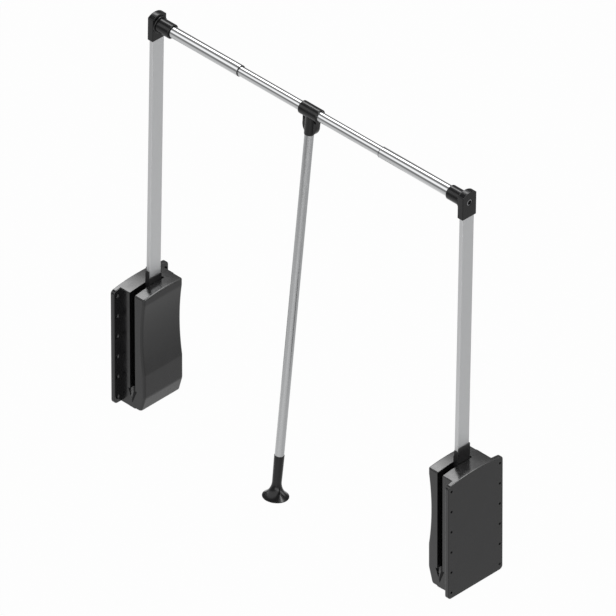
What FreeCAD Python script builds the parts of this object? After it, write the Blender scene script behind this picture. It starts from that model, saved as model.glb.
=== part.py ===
"""Pull-down closet rod: two spring-loaded lift units, swinging arms, a telescopic rod and a pull handle.

Frame: millimetres, +Z up, -Y towards the user, +X from the left lift unit to the right one.
The origin is the middle of the left mounting plate's outer face, which is the middle of its screws.
Every left-hand piece is built where it stands; the right-hand unit is its mirror image.
"""
import FreeCAD, Part
import Sketcher
import math
import os

from FreeCAD import Vector

# Driving dimensions in millimetres and degrees: alias, value.
DIMENSIONS = [
    ("outer_width", 863.0),          # wall to wall, outer faces of the two plates
    ("plate_width", 140.0),
    ("plate_below", 126.0),          # origin down to the plate's bottom edge
    ("plate_above", 126.0),          # origin up to the plate's top corners
    ("plate_arch", 5.0),             # rise of the top edge between its corners
    ("plate_thickness", 9.0),
    ("plate_corner", 8.0),
    ("screw_rows", 6.0),
    ("screw_pitch", 45.0),
    ("screw_gap", 124.0),            # front column to rear column
    ("screw_hole", 5.0),
    ("screw_sink", 9.0),
    ("front_setback", 17.0),         # plate's front edge back to the housing
    ("rear_setback", 22.4),
    ("base_depth", 32.0),            # outer face to the near side of the arm slot
    ("slot_width", 13.0),
    ("slot_floor", 40.0),            # floor of the slot above the housing's bottom
    ("slot_mouth", 93.0),            # open length of the slot's top, from the plate's front edge
    ("slot_rear_wall", 12.6),
    ("slot_roof", 12.0),
    ("funnel_radius", 11.0),
    ("funnel_tip", 11.0),            # tip of the funnel above the bottom
    ("cover_depth", 24.0),           # at the top and at the lower bulge
    ("waist_sink", 6.0),             # how far the waist draws in between them
    ("cover_foot", 14.5),            # at the bottom edge, under the chamfer
    ("chamfer_top", 33.0),
    ("bulge_top", 84.0),
    ("shoulder", 240.0),
    ("cover_bend", 25.0),
    ("cover_edge", 5.0),
    ("cover_crown", 3.0),
    ("cover_clip_inset", 60.0),      # snap clips from the bottom and from the top
    ("cover_clip_height", 12.0),
    ("cover_clip_depth", 3.0),
    ("shell_wall", 2.5),
    ("back_wall", 3.0),
    ("side_plate", 2.0),
    ("plate_fit", 0.15),             # gap round a steel side plate
    ("running_fit", 0.3),            # gap between pieces that move past each other
    ("screw_clearance", 0.2),        # radial
    ("shaft_fit", 0.03),             # radial
    ("press_fit", 0.02),             # radial
    ("pivot_setback", 2.0),          # pivot in front of the plate's middle
    ("pivot_drop", 54.0),            # pivot below the origin
    ("shaft_diameter", 10.0),
    ("bush_wall", 2.0),
    ("boss_wall", 4.0),
    ("bush_collar", 18.0),
    ("bush_collar_thickness", 1.5),
    ("clip_diameter", 15.0),
    ("clip_thickness", 1.0),
    ("shaft_overrun", 2.0),          # shaft beyond its clip
    ("gear_module", 2.0),
    ("pressure_angle", 20.0),
    ("gear_teeth", 24.0),
    ("gear_width", 12.0),
    ("gear_start", 11.0),            # outer face to the gear
    ("tooth_thinning", 0.45),        # taken off each tooth's thickness
    ("rack_teeth", 11.0),
    ("rack_back", 7.5),
    ("crosshead_drop", 22.0),        # its lower face below the origin
    ("crosshead_thickness", 8.0),
    ("crosshead_reach", 36.0),       # in front of the plate's middle
    ("crosshead_width", 18.0),
    ("rail_thickness", 2.0),
    ("seat_height", 108.0),          # spring seat above the origin
    ("seat_thickness", 4.0),
    ("spring_diameter", 15.0),
    ("spring_wire", 1.8),
    ("spring_pitch", 6.2),
    ("spring_spacing", 46.0),
    ("damper_setback", 3.0),
    ("damper_diameter", 20.0),
    ("damper_bore", 16.0),
    ("damper_length", 62.0),
    ("damper_cap", 4.0),
    ("damper_rod", 6.0),
    ("piston_thickness", 4.0),
    ("piston_lift", 2.0),
    ("post_diameter", 9.0),
    ("post_inset", 9.0),
    ("frame_screw", 4.0),
    ("frame_screw_head", 7.5),
    ("frame_screw_head_height", 2.4),
    ("frame_screw_bite", 18.0),
    ("buffer_height", 24.0),
    ("buffer_below_top", 22.0),
    ("arm_lean", 1.3),
    ("arm_reach", 751.2),            # pivot to rod
    ("arm_width", 28.6),
    ("arm_thickness", 9.0),
    ("arm_wall", 1.5),
    ("arm_corner", 1.0),
    ("arm_start", 26.0),             # pivot to the tube's lower end
    ("socket_fit", 0.1),
    ("shoe_width", 31.0),
    ("shoe_thickness", 11.8),
    ("shoe_top", 219.0),
    ("shoe_front_top", 211.5),
    ("shoe_near_top", 199.0),
    ("rivet_diameter", 5.0),
    ("rivet_first", 55.0),
    ("rivet_second", 150.0),
    ("head_width", 35.0),
    ("head_thickness", 13.5),
    ("head_below", 32.0),            # rod axis down to the head's lower face
    ("head_shoulder", 16.0),         # rod axis up to where the arched top begins
    ("head_above", 22.0),
    ("tube_above", 11.0),            # rod axis up to the arm tube's end
    ("boss_ring", 34.0),
    ("boss_ring_length", 3.0),
    ("boss_diameter", 28.5),
    ("boss_length", 34.0),
    ("core_length", 18.0),
    ("rod_seat", 4.0),               # head's face to the end of the rod tube
    ("head_screw", 5.0),
    ("head_screw_head", 13.0),
    ("head_screw_head_height", 1.5),
    ("head_screw_length", 20.0),
    ("recess_width", 6.0),
    ("recess_floor", 0.4),
    ("outer_tube", 22.0),
    ("outer_tube_wall", 0.9),
    ("outer_tube_end", 180.0),       # middle of the rod to the end of an outer tube
    ("ring_flange", 1.2),
    ("ring_depth", 12.0),
    ("ring_fit", 0.06),              # radial
    ("inner_tube", 19.0),
    ("inner_tube_wall", 1.2),
    ("rod_end_gap", 17.5),           # end of the inner tube to the head's core
    ("liner_wall", 1.2),
    ("clamp_length", 44.5),
    ("clamp_wall", 2.2),
    ("clamp_drop", 46.0),
    ("web_front", 2.8),              # rod axis forward to the web's front face
    ("web_rear", 8.5),
    ("web_width", 37.0),
    ("web_shoulder", 9.0),           # rod axis down to where the web begins to narrow
    ("web_waist", 34.6),
    ("web_waist_drop", 26.0),
    ("web_round", 21.6),             # radius of its lower corners
    ("web_foot", 16.0),
    ("socket_diameter", 19.8),
    ("socket_depth", 26.0),
    ("clamp_gap", 0.2),
    ("clamp_screw", 3.0),
    ("clamp_screw_head", 5.4),
    ("clamp_screw_head_height", 1.4),
    ("clamp_screw_bite", 5.0),       # rod axis back to the screws' tips
    ("clamp_screw_drop", 16.5),
    ("clamp_screw_spacing", 28.0),
    ("handle_lean", 6.6),
    ("handle_tube", 17.5),
    ("handle_tube_wall", 1.2),
    ("handle_length", 813.0),        # rod axis to the bottom of the knob
    ("knob_length", 88.0),
    ("knob_collar", 19.0),
    ("knob_neck", 17.8),
    ("knob_disc", 50.0),
    ("knob_rim", 1.6),
    ("knob_flare", 30.0),
    ("knob_socket", 24.0),
    ("knob_round", 0.5),
    ("knob_edge", 0.6),
    ("knob_collar_height", 12.0),
]

ALIASES = {alias for alias, value in DIMENSIONS}

doc = FreeCAD.newDocument("PullDownRod")
sheet = doc.addObject("Spreadsheet::Sheet", "Sizes")
for row, (alias, value) in enumerate(DIMENSIONS, start=1):
    sheet.set(f"A{row}", alias)
    sheet.set(f"B{row}", str(value))
    sheet.setAlias(f"B{row}", alias)
doc.recompute()


def sized(text):
    """Turns a formula in plain aliases into one that other objects can use."""
    result = []
    word = ""
    for letter in text + " ":
        if letter.isalnum() or letter == "_":
            word += letter
            continue
        result.append(f"Sizes.{word}" if word in ALIASES else word)
        result.append(letter)
        word = ""
    return "".join(result).strip()


def number(text):
    """The value of a formula in plain aliases, in millimetres or degrees."""
    return float(sheet.evalExpression(sized(text)))


# Places that several pieces share, as formulas of the driving dimensions.
MIDDLE = "(outer_width / 2)"
PLATE_FRONT = "(-plate_width / 2)"
PLATE_REAR = "(plate_width / 2)"
BODY_FRONT = "(front_setback - plate_width / 2)"
BODY_REAR = "(plate_width / 2 - rear_setback)"
BOTTOM = "(-plate_below)"
ARCH_CHORD = "(plate_width - 2 * plate_corner)"
ARCH_RADIUS = f"(({ARCH_CHORD}^2 / 4 + plate_arch^2) / (2 * plate_arch))"
ARCH_CENTRE = f"(plate_above + plate_arch - {ARCH_RADIUS})"
SLOT_END = "(base_depth + slot_width)"
ARM_PLANE = "(base_depth + slot_width / 2)"
PLATE_SEAT = "(base_depth - side_plate)"
COVER_FACE = f"({SLOT_END} + cover_depth)"
PIVOT_Y = "(-pivot_setback)"
PIVOT_Z = "(-pivot_drop)"
ROD_Y = f"({PIVOT_Y} + arm_reach * sin(arm_lean))"
ROD_Z = f"({PIVOT_Z} + arm_reach * cos(arm_lean))"
PITCH_RADIUS = "(gear_module * gear_teeth / 2)"
RACK_PITCH_Y = f"({PIVOT_Y} + {PITCH_RADIUS})"
TOOTH_PITCH = "(gear_module * pi)"
DEDENDUM = "(1.25 * gear_module)"
RACK_ROOT_Y = f"({RACK_PITCH_Y} + {DEDENDUM})"
RACK_REAR_Y = f"({RACK_ROOT_Y} + rack_back)"
RACK_FOOT_Z = f"({PIVOT_Z} - (rack_teeth - 1.5) * {TOOTH_PITCH})"
CROSSHEAD_TOP = "(crosshead_thickness - crosshead_drop)"
MECHANISM_X = "(gear_start + gear_width / 2)"
DAMPER_Y = "(-damper_setback)"
DAMPER_FOOT = "(seat_height - damper_length)"
BUSH_RADIUS = "(shaft_diameter / 2 + shaft_fit + bush_wall)"
HEAD_FACE = f"({ARM_PLANE} + head_thickness / 2)"
ROD_START = f"({HEAD_FACE} + rod_seat)"
ROD_STEP = f"({MIDDLE} - outer_tube_end)"
INNER_HALF = f"({MIDDLE} - {ROD_START} - core_length - rod_end_gap)"
LINER_RADIUS = "(inner_tube / 2 + shaft_fit + liner_wall)"
CLAMP_RADIUS = f"({LINER_RADIUS} + shaft_fit + clamp_wall)"
KNOB_TOP = "(knob_length - handle_length)"
FLOOR_Z = f"({BOTTOM} + slot_floor)"


def arch(place):
    """Height of the arched top line above a depth."""
    return f"({ARCH_CENTRE} + sqrt({ARCH_RADIUS}^2 - ({place})^2))"


parts = []


def keep(item, label):
    """Adds a finished object to the pieces that are written."""
    item.Label = label
    parts.append(item)
    return item


def new_body(label):
    return keep(doc.addObject("PartDesign::Body", label), label)


def sketch_on(body, name, role, offset="0"):
    """A sketch on one of the body's own planes, moved along that plane's normal."""
    plane = next(item for item in body.Origin.OriginFeatures if item.Role == role)
    sketch = body.newObject("Sketcher::SketchObject", name)
    sketch.AttachmentSupport = (plane, [""])
    sketch.MapMode = "FlatFace"
    sketch.setExpression("AttachmentOffset.Base.z", sized(offset))
    return sketch


def bind(sketch, constraint, formula):
    index = sketch.addConstraint(constraint)
    sketch.setExpression(f"Constraints[{index}]", sized(formula))


def pin(sketch, shape, point, x, y):
    """Holds one point of a sketch at a place given by two formulas."""
    bind(sketch, Sketcher.Constraint("DistanceX", -1, 1, shape, point, number(x)), x)
    bind(sketch, Sketcher.Constraint("DistanceY", -1, 1, shape, point, number(y)), y)


def circle(sketch, x, y, diameter):
    centre = Vector(number(x), number(y), 0)
    shape = sketch.addGeometry(Part.Circle(centre, Vector(0, 0, 1), number(diameter) / 2), False)
    pin(sketch, shape, 3, x, y)
    bind(sketch, Sketcher.Constraint("Diameter", shape, number(diameter)), diameter)


def side(start, end, radius):
    """A straight side, or an arc that bulges to the right of its way for a positive radius."""
    if not radius:
        return Part.LineSegment(start, end)
    chord = end - start
    across = Vector(chord.y, -chord.x, 0).normalize()
    rise = abs(radius) - math.sqrt(radius * radius - chord.Length ** 2 / 4)
    middle = (start + end) * 0.5 + across * math.copysign(rise, radius)
    return Part.Arc(start, middle, end)


def outline(sketch, corners):
    """A closed outline; a corner is (x, y) or (x, y, radius of the side that leaves it)."""
    points = [Vector(number(corner[0]), number(corner[1]), 0) for corner in corners]
    ends = points[1:] + points[:1]
    shapes = []
    for corner, start, end in zip(corners, points, ends):
        radius = number(corner[2]) if len(corner) > 2 else 0
        shapes.append(sketch.addGeometry(side(start, end, radius), False))
    heads = []
    tails = []
    for shape, start in zip(shapes, points):
        forward = sketch.getPoint(shape, 1).distanceToPoint(start) < 1e-6
        heads.append(1 if forward else 2)
        tails.append(2 if forward else 1)
    for step, corner in enumerate(corners):
        before = step - 1
        joint = Sketcher.Constraint("Coincident", shapes[before], tails[before], shapes[step], heads[step])
        sketch.addConstraint(joint)
        pin(sketch, shapes[step], heads[step], corner[0], corner[1])
        if len(corner) > 2:
            radius = f"abs({corner[2]})"
            bind(sketch, Sketcher.Constraint("Radius", shapes[step], number(radius)), radius)


def rectangle(sketch, left, low, right, high):
    outline(sketch, [(left, low), (right, low), (right, high), (left, high)])


def pad(body, sketch, length, back=False, middle=False):
    feature = body.newObject("PartDesign::Pad", f"{sketch.Name}_pad")
    feature.Profile = sketch
    feature.setExpression("Length", sized(length))
    feature.Reversed = back
    feature.Midplane = middle
    return feature


def pocket(body, sketch, length=None, back=False, middle=False):
    """Cuts a sketch to a depth, or right through, and makes sure that something was cut."""
    doc.recompute()
    before = body.Shape.Volume
    feature = body.newObject("PartDesign::Pocket", f"{sketch.Name}_cut")
    feature.Profile = sketch
    if length is None:
        feature.Type = "ThroughAll"
    else:
        feature.setExpression("Length", sized(length))
    feature.Reversed = back
    feature.Midplane = middle
    doc.recompute()
    if not body.Shape.Volume < before:
        raise RuntimeError(f"{feature.Name} cuts nothing")
    return feature


def revolve(body, sketch, axis="V_Axis"):
    feature = body.newObject("PartDesign::Revolution", f"{sketch.Name}_turned")
    feature.Profile = sketch
    feature.ReferenceAxis = (sketch, [axis])
    feature.Angle = 360
    return feature


def soften(body, radius, chosen):
    """Rounds the edges of a body that a test picks out."""
    doc.recompute()
    names = [f"Edge{index}" for index, edge in enumerate(body.Shape.Edges, start=1) if chosen(edge)]
    if not names:
        raise RuntimeError(f"no edge to soften on {body.Label}")
    base = body.Tip
    feature = body.newObject("PartDesign::Fillet", f"{body.Name}_soft")
    feature.Base = (base, names)
    feature.setExpression("Radius", sized(radius))
    doc.recompute()


def along(edge, direction):
    """True for a straight edge that runs in a direction."""
    if not isinstance(edge.Curve, Part.Line):
        return False
    return abs(edge.tangentAt(edge.FirstParameter).dot(direction)) > 0.999


def middle_of(edge):
    return edge.BoundBox.Center


def near(value, target):
    return abs(value - target) < 0.05


def place(item, x="0", y="0", z="0", lean="0"):
    """Puts an object at a point and turns it about the X direction."""
    item.Placement = FreeCAD.Placement(Vector(), FreeCAD.Rotation(Vector(1, 0, 0), 1))
    item.setExpression("Placement.Base.x", sized(x))
    item.setExpression("Placement.Base.y", sized(y))
    item.setExpression("Placement.Base.z", sized(z))
    item.setExpression("Placement.Rotation.Angle", sized(lean))


def disc(body, name, start, length, diameter, bore=None, y="0", z="0"):
    """A round pad along X, with a bore if one is given."""
    sketch = sketch_on(body, name, "YZ_Plane", start)
    circle(sketch, y, z, diameter)
    if bore:
        circle(sketch, y, z, bore)
    return pad(body, sketch, length)


X, Y, Z = Vector(1, 0, 0), Vector(0, 1, 0), Vector(0, 0, 1)


def body_outline(sketch, inset="0"):
    """The housing's side view under the arched top, drawn in by an inset."""
    front = f"({BODY_FRONT} + ({inset}))"
    rear = f"({BODY_REAR} - ({inset}))"
    low = f"({BOTTOM} + ({inset}))"
    outline(sketch, [
        (front, low),
        (rear, low),
        (rear, f"({arch(BODY_REAR)} - ({inset}))", ARCH_RADIUS),
        (front, f"({arch(BODY_FRONT)} - ({inset}))"),
    ])


def funnel_wall(body, start, end):
    """Solid plastic behind the front face, where the scoop is cut."""
    block = sketch_on(body, f"{body.Name}_funnel_wall", "YZ_Plane", start)
    rectangle(block, f"({BODY_FRONT} + shell_wall / 2)", f"({FLOOR_Z} - funnel_radius - shell_wall)",
              f"({BODY_FRONT} + funnel_radius + shell_wall)", f"({FLOOR_Z} + shell_wall)")
    pad(body, block, f"{end} - {start}")


def funnel(body):
    """The conical scoop at the foot of the slot, in the housing's front face."""
    doc.recompute()
    before = body.Shape.Volume
    cone = body.newObject("PartDesign::SubtractiveCone", f"{body.Name}_funnel")
    cone.Radius1 = 0
    cone.setExpression("Radius2", sized("funnel_radius"))
    cone.setExpression("Height", sized("slot_floor - funnel_tip"))
    cone.setExpression("Placement.Base.x", sized(ARM_PLANE))
    cone.setExpression("Placement.Base.y", sized(BODY_FRONT))
    cone.setExpression("Placement.Base.z", sized(f"{BOTTOM} + funnel_tip"))
    doc.recompute()
    if not body.Shape.Volume < before:
        raise RuntimeError(f"the funnel misses {body.Label}")


# Places of the four long screws that hold the frame of a lift unit together.
SCREW_POINTS = [
    (f"({BODY_FRONT} + post_inset)", f"({BOTTOM} + post_inset)"),
    (f"({BODY_REAR} - slot_rear_wall / 2)", f"({BOTTOM} + post_inset)"),
    (f"({BODY_REAR} - slot_rear_wall / 2)", "0"),
    (f"({BODY_REAR} - slot_rear_wall / 2)", f"({arch(BODY_REAR)} - post_inset)"),
]
SPRING_POINTS = [f"({DAMPER_Y} - spring_spacing / 2)", f"({DAMPER_Y} + spring_spacing / 2)"]


def screw_holes(body, start, diameter, length=None):
    """Holes for the frame screws: to a depth, or right through."""
    sketch = sketch_on(body, f"{body.Name}_screw_holes", "YZ_Plane", start)
    for y, z in SCREW_POINTS:
        circle(sketch, y, z, diameter)
    pocket(body, sketch, length, back=True, middle=length is None)


# Lift unit: base with mounting plate and mechanism box ---------------------------------------
def make_base():
    body = new_body("left_base")
    plate = sketch_on(body, "plate", "YZ_Plane")
    front = f"({PLATE_FRONT} + plate_corner)"
    rear = f"({PLATE_REAR} - plate_corner)"
    low = f"({BOTTOM} + plate_corner)"
    high = "(plate_above - plate_corner)"
    outline(plate, [
        (front, BOTTOM),
        (rear, BOTTOM, "plate_corner"),
        (PLATE_REAR, low),
        (PLATE_REAR, high, "plate_corner"),
        (rear, "plate_above", ARCH_RADIUS),
        (front, "plate_above", "plate_corner"),
        (PLATE_FRONT, high),
        (PLATE_FRONT, low, "plate_corner"),
    ])
    pad(body, plate, "plate_thickness")
    box = sketch_on(body, "box", "YZ_Plane", "plate_thickness")
    body_outline(box)
    pad(body, box, "base_depth - plate_thickness")
    cavity = sketch_on(body, "cavity", "YZ_Plane", "back_wall")
    body_outline(cavity, "shell_wall")
    pocket(body, cavity, "base_depth", back=True)
    posts = sketch_on(body, "posts", "YZ_Plane", "back_wall")
    for y, z in SCREW_POINTS:
        circle(posts, y, z, "post_diameter")
    pad(body, posts, f"{PLATE_SEAT} - back_wall")
    screw_holes(body, f"{PLATE_SEAT} - frame_screw_bite", "frame_screw + 2 * press_fit", "frame_screw_bite")
    disc(body, "bearing_boss", "back_wall", "plate_thickness - back_wall", f"2 * ({BUSH_RADIUS} + boss_wall)",
         y=PIVOT_Y, z=PIVOT_Z)
    seat = sketch_on(body, "bearing_seat", "YZ_Plane", "back_wall")
    circle(seat, PIVOT_Y, PIVOT_Z, f"2 * ({BUSH_RADIUS} + press_fit)")
    pocket(body, seat, "plate_thickness - back_wall", back=True)
    rail = sketch_on(body, "rack_rail", "YZ_Plane", "back_wall")
    rectangle(rail, f"({RACK_REAR_Y} + running_fit)", f"({BOTTOM} + shell_wall / 2)",
              f"({RACK_REAR_Y} + running_fit + rail_thickness)", f"({DAMPER_FOOT} - running_fit)")
    pad(body, rail, "gear_start + gear_width - back_wall")
    ribs = sketch_on(body, "seat_ribs", "YZ_Plane", "back_wall")
    for y in SPRING_POINTS:
        rectangle(ribs, f"({y} - shell_wall / 2)", "(seat_height + seat_thickness)",
                  f"({y} + shell_wall / 2)", f"({arch(BODY_REAR)} - shell_wall / 2)")
    pad(body, ribs, f"{PLATE_SEAT} - back_wall - plate_fit")
    funnel_wall(body, f"({ARM_PLANE} - funnel_radius - shell_wall)", PLATE_SEAT)
    funnel(body)
    holes = sketch_on(body, "mounting_holes", "YZ_Plane", "plate_thickness")
    for y in ("-screw_gap / 2", "screw_gap / 2"):
        circle(holes, y, "-(screw_rows - 1) * screw_pitch / 2", "screw_hole")
    doc.recompute()
    hole = body.newObject("PartDesign::Hole", "mounting_hole")
    hole.Profile = holes
    doc.recompute()
    hole.DepthType = "ThroughAll"
    hole.HoleCutType = "Countersink"
    hole.HoleCutCustomValues = True
    hole.HoleCutCountersinkAngle = 90
    hole.setExpression("Diameter", sized("screw_hole"))
    hole.setExpression("HoleCutDiameter", sized("screw_sink"))
    doc.recompute()
    rows = body.newObject("PartDesign::LinearPattern", "mounting_rows")
    rows.Originals = [hole]
    rows.Direction = (holes, ["V_Axis"])
    rows.setExpression("Length", sized("(screw_rows - 1) * screw_pitch"))
    rows.setExpression("Occurrences", sized("screw_rows"))
    body.Tip = rows


def make_side_plate(label, start):
    """Steel plate beside the arm slot, with the holes for the frame screws and a bush."""
    body = new_body(label)
    panel = sketch_on(body, f"{label}_panel", "YZ_Plane", start)
    body_outline(panel, "shell_wall + plate_fit")
    pad(body, panel, "side_plate")
    screw_holes(body, start, "frame_screw + 2 * screw_clearance")
    bearing = sketch_on(body, f"{label}_bearing", "YZ_Plane", start)
    circle(bearing, PIVOT_Y, PIVOT_Z, f"2 * ({BUSH_RADIUS} + press_fit)")
    pocket(body, bearing, middle=True)
    funnel(body)


def make_spacer():
    body = new_body("left_slot_spacer")
    frame = sketch_on(body, "slot_frame", "YZ_Plane", "base_depth")
    mouth = "(slot_mouth - plate_width / 2)"
    inside = f"({BODY_REAR} - slot_rear_wall)"
    outline(frame, [
        (BODY_FRONT, BOTTOM),
        (BODY_REAR, BOTTOM),
        (BODY_REAR, arch(BODY_REAR), ARCH_RADIUS),
        (mouth, arch(mouth)),
        (mouth, f"({arch(mouth)} - slot_roof)"),
        (inside, f"({arch(mouth)} - slot_roof)"),
        (inside, FLOOR_Z),
        (BODY_FRONT, FLOOR_Z),
    ])
    pad(body, frame, "slot_width")
    screw_holes(body, "base_depth", "frame_screw + 2 * screw_clearance")
    funnel(body)


def cover_face(inset="0"):
    """Corners of the waisted outer face, from the foot upwards."""
    waist = f"(-((shoulder - bulge_top)^2 / 4 + waist_sink^2) / (2 * waist_sink))"
    full = f"({COVER_FACE} - {inset})"
    return [
        (full, f"({BOTTOM} + chamfer_top)"),
        (full, f"({BOTTOM} + bulge_top)", waist),
        (full, f"({BOTTOM} + shoulder)"),
    ]


def make_cover():
    body = new_body("left_cover")
    block = sketch_on(body, "cover_block", "YZ_Plane", SLOT_END)
    body_outline(block)
    pad(body, block, "cover_depth")
    face = sketch_on(body, "cover_face", "XZ_Plane")
    above = "(plate_above + 2 * plate_arch)"
    foot = f"({SLOT_END} + cover_foot)"
    far = f"({COVER_FACE} + cover_depth)"
    below = f"({BOTTOM} - plate_arch)"
    outside = [(COVER_FACE, above), (far, above), (far, below), (foot, below), (foot, BOTTOM)]
    outline(face, outside + cover_face())
    pocket(body, face, middle=True)
    sides = (number(BODY_FRONT), number(BODY_REAR))
    rim = number(SLOT_END) + number("cover_foot") / 2

    def upright(edge):
        box = edge.BoundBox
        return box.XMin > rim and box.YLength < 0.01 and any(near(box.YMin, line) for line in sides)

    def crown(edge):
        box = edge.BoundBox
        return box.XLength < 0.01 and near(box.XMin, number(COVER_FACE)) and box.ZMax > number("plate_above")

    soften(body, "cover_bend", lambda edge: along(edge, Y) and near(middle_of(edge).x, number(COVER_FACE)))
    soften(body, "cover_edge", upright)
    soften(body, "cover_crown", crown)
    hollow = sketch_on(body, "cover_hollow", "XZ_Plane", f"(-({BODY_FRONT} + {BODY_REAR}) / 2)")
    ceiling = f"({arch(BODY_REAR)} - shell_wall)"
    floor = f"({BOTTOM} + shell_wall)"
    mouth = f"({SLOT_END} - shell_wall)"
    outline(hollow, [(mouth, floor), (f"({foot} - shell_wall)", floor)] + cover_face("shell_wall")
            + [(f"({COVER_FACE} - shell_wall)", ceiling), (mouth, ceiling)])
    pocket(body, hollow, f"{BODY_REAR} - {BODY_FRONT} - 2 * shell_wall", middle=True)
    mouth = sketch_on(body, "cover_mouth", "YZ_Plane", SLOT_END)
    body_outline(mouth, "shell_wall")
    pocket(body, mouth, "side_plate + running_fit", back=True)
    inside = f"({SLOT_END} + side_plate + running_fit)"
    funnel_wall(body, inside, f"({ARM_PLANE} + funnel_radius + shell_wall)")
    clips = sketch_on(body, "cover_clips", "YZ_Plane", inside)
    for y in (f"({BODY_FRONT} + shell_wall)", f"({BODY_REAR} - shell_wall - cover_clip_depth)"):
        for z in (f"({BOTTOM} + cover_clip_inset)", "(plate_above - cover_clip_inset)"):
            rectangle(clips, y, z, f"({y} + cover_clip_depth)", f"({z} + cover_clip_height)")
    pad(body, clips, "cover_clip_depth")
    funnel(body)


def make_frame_screws():
    """Four long screws: heads on the cover-side plate, threads in the base's posts."""
    body = new_body("left_frame_screws")
    shanks = sketch_on(body, "screw_shanks", "YZ_Plane", f"({PLATE_SEAT} - frame_screw_bite + running_fit)")
    heads = sketch_on(body, "screw_heads", "YZ_Plane", f"({SLOT_END} + side_plate)")
    for y, z in SCREW_POINTS:
        circle(shanks, y, z, "frame_screw")
        circle(heads, y, z, "frame_screw_head")
    pad(body, shanks, f"{SLOT_END} + side_plate - {PLATE_SEAT} + frame_screw_bite - running_fit")
    pad(body, heads, "frame_screw_head_height")


# Lift unit: pivot, gear and spring pack ------------------------------------------------------
def make_bushes():
    """Three collared nylon bushes: in the base and in both side plates."""
    body = new_body("left_shaft_bushes")
    hole = "(shaft_diameter + 2 * shaft_fit)"
    stem = f"(2 * {BUSH_RADIUS})"
    runs = [
        ("back_wall", "plate_thickness - back_wall", stem),
        ("plate_thickness", "bush_collar_thickness", "bush_collar"),
        (f"({PLATE_SEAT} - bush_collar_thickness)", "bush_collar_thickness", "bush_collar"),
        (PLATE_SEAT, "side_plate", stem),
        (SLOT_END, "side_plate", stem),
        (f"({SLOT_END} + side_plate)", "bush_collar_thickness", "bush_collar"),
    ]
    for step, (start, length, diameter) in enumerate(runs):
        disc(body, f"bush_{step}", start, length, diameter, hole, PIVOT_Y, PIVOT_Z)


def make_shaft():
    body = new_body("left_pivot_shaft")
    clip_face = f"({SLOT_END} + side_plate + bush_collar_thickness + running_fit)"
    length = f"{clip_face} + clip_thickness + shaft_overrun - back_wall - running_fit"
    disc(body, "shaft", "(back_wall + running_fit)", length, "shaft_diameter", None, PIVOT_Y, PIVOT_Z)
    clip = new_body("left_shaft_clip")
    disc(clip, "clip", clip_face, "clip_thickness", "clip_diameter", "shaft_diameter + 2 * press_fit",
         PIVOT_Y, PIVOT_Z)


def tooth_half_angle(radius):
    """Half the angle of a pinion tooth at a radius, from its involute flank."""
    teeth = number("gear_teeth")
    pitch = number(PITCH_RADIUS)
    pressure = math.radians(number("pressure_angle"))
    base = pitch * math.cos(pressure)
    at_pitch = math.pi / (2 * teeth) - number("tooth_thinning") / (2 * pitch)
    at_base = at_pitch + math.tan(pressure) - pressure
    if radius <= base:
        return at_base
    slope = math.acos(base / radius)
    return at_base - (math.tan(slope) - slope)


def make_pinion():
    """Spur pinion on the shaft; a tooth points at the rack when the arm is up."""
    pitch = number(PITCH_RADIUS)
    module = number("gear_module")
    root = pitch - number(DEDENDUM)
    radii = [root, (root + pitch) / 2, pitch, pitch + module / 2, pitch + module]
    flank = [(radius, tooth_half_angle(radius)) for radius in radii]
    count = int(number("gear_teeth"))
    points = []
    for tooth in range(count):
        middle = 2 * math.pi * tooth / count
        for radius, half in flank:
            points.append((radius, middle - half))
        for radius, half in reversed(flank):
            points.append((radius, middle + half))
    corners = [Vector(0, radius * math.cos(angle), radius * math.sin(angle)) for radius, angle in points]
    teeth = Part.Face(Part.makePolygon(corners + corners[:1])).extrude(X * number("gear_width"))
    bore_radius = number("shaft_diameter") / 2 + number("press_fit")
    bore = Part.makeCylinder(bore_radius, number("gear_width"), Vector(), X)
    pinion = keep(doc.addObject("Part::Feature", "left_pinion"), "left_pinion")
    pinion.Shape = teeth.cut(bore)
    place(pinion, "gear_start", PIVOT_Y, PIVOT_Z)


def make_rack():
    """Toothed bar beside the pinion, with the crosshead that pushes the springs up."""
    body = new_body("left_rack")
    bar = sketch_on(body, "rack_bar", "YZ_Plane", "gear_start")
    rectangle(bar, RACK_ROOT_Y, f"({RACK_FOOT_Z} - gear_module)", RACK_REAR_Y, "(-crosshead_drop)")
    pad(body, bar, "gear_width")
    head = sketch_on(body, "crosshead", "YZ_Plane", f"({MECHANISM_X} - crosshead_width / 2)")
    rectangle(head, "(-crosshead_reach)", "(-crosshead_drop)", RACK_REAR_Y, CROSSHEAD_TOP)
    pad(body, head, "crosshead_width")
    half = "(gear_module * pi / 4 - tooth_thinning / 2)"
    slope = "tan(pressure_angle)"
    tooth = sketch_on(body, "rack_tooth", "YZ_Plane", "gear_start")
    first = f"({PIVOT_Z} + {TOOTH_PITCH} * 1.5)"
    root = f"({half} + {DEDENDUM} * {slope})"
    tip = f"({half} - gear_module * {slope})"
    outline(tooth, [
        (RACK_ROOT_Y, f"({first} - {root})"),
        (f"({RACK_ROOT_Y} + rack_back / 2)", f"({first} - {root})"),
        (f"({RACK_ROOT_Y} + rack_back / 2)", f"({first} + {root})"),
        (RACK_ROOT_Y, f"({first} + {root})"),
        (f"({RACK_PITCH_Y} - gear_module)", f"({first} + {tip})"),
        (f"({RACK_PITCH_Y} - gear_module)", f"({first} - {tip})"),
    ])
    one = pad(body, tooth, "gear_width")
    doc.recompute()
    row = body.newObject("PartDesign::LinearPattern", "rack_teeth")
    row.Originals = [one]
    row.Direction = (tooth, ["V_Axis"])
    row.Reversed = True
    row.setExpression("Length", sized(f"(rack_teeth - 1) * {TOOTH_PITCH}"))
    row.setExpression("Occurrences", sized("rack_teeth"))
    body.Tip = row


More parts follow.
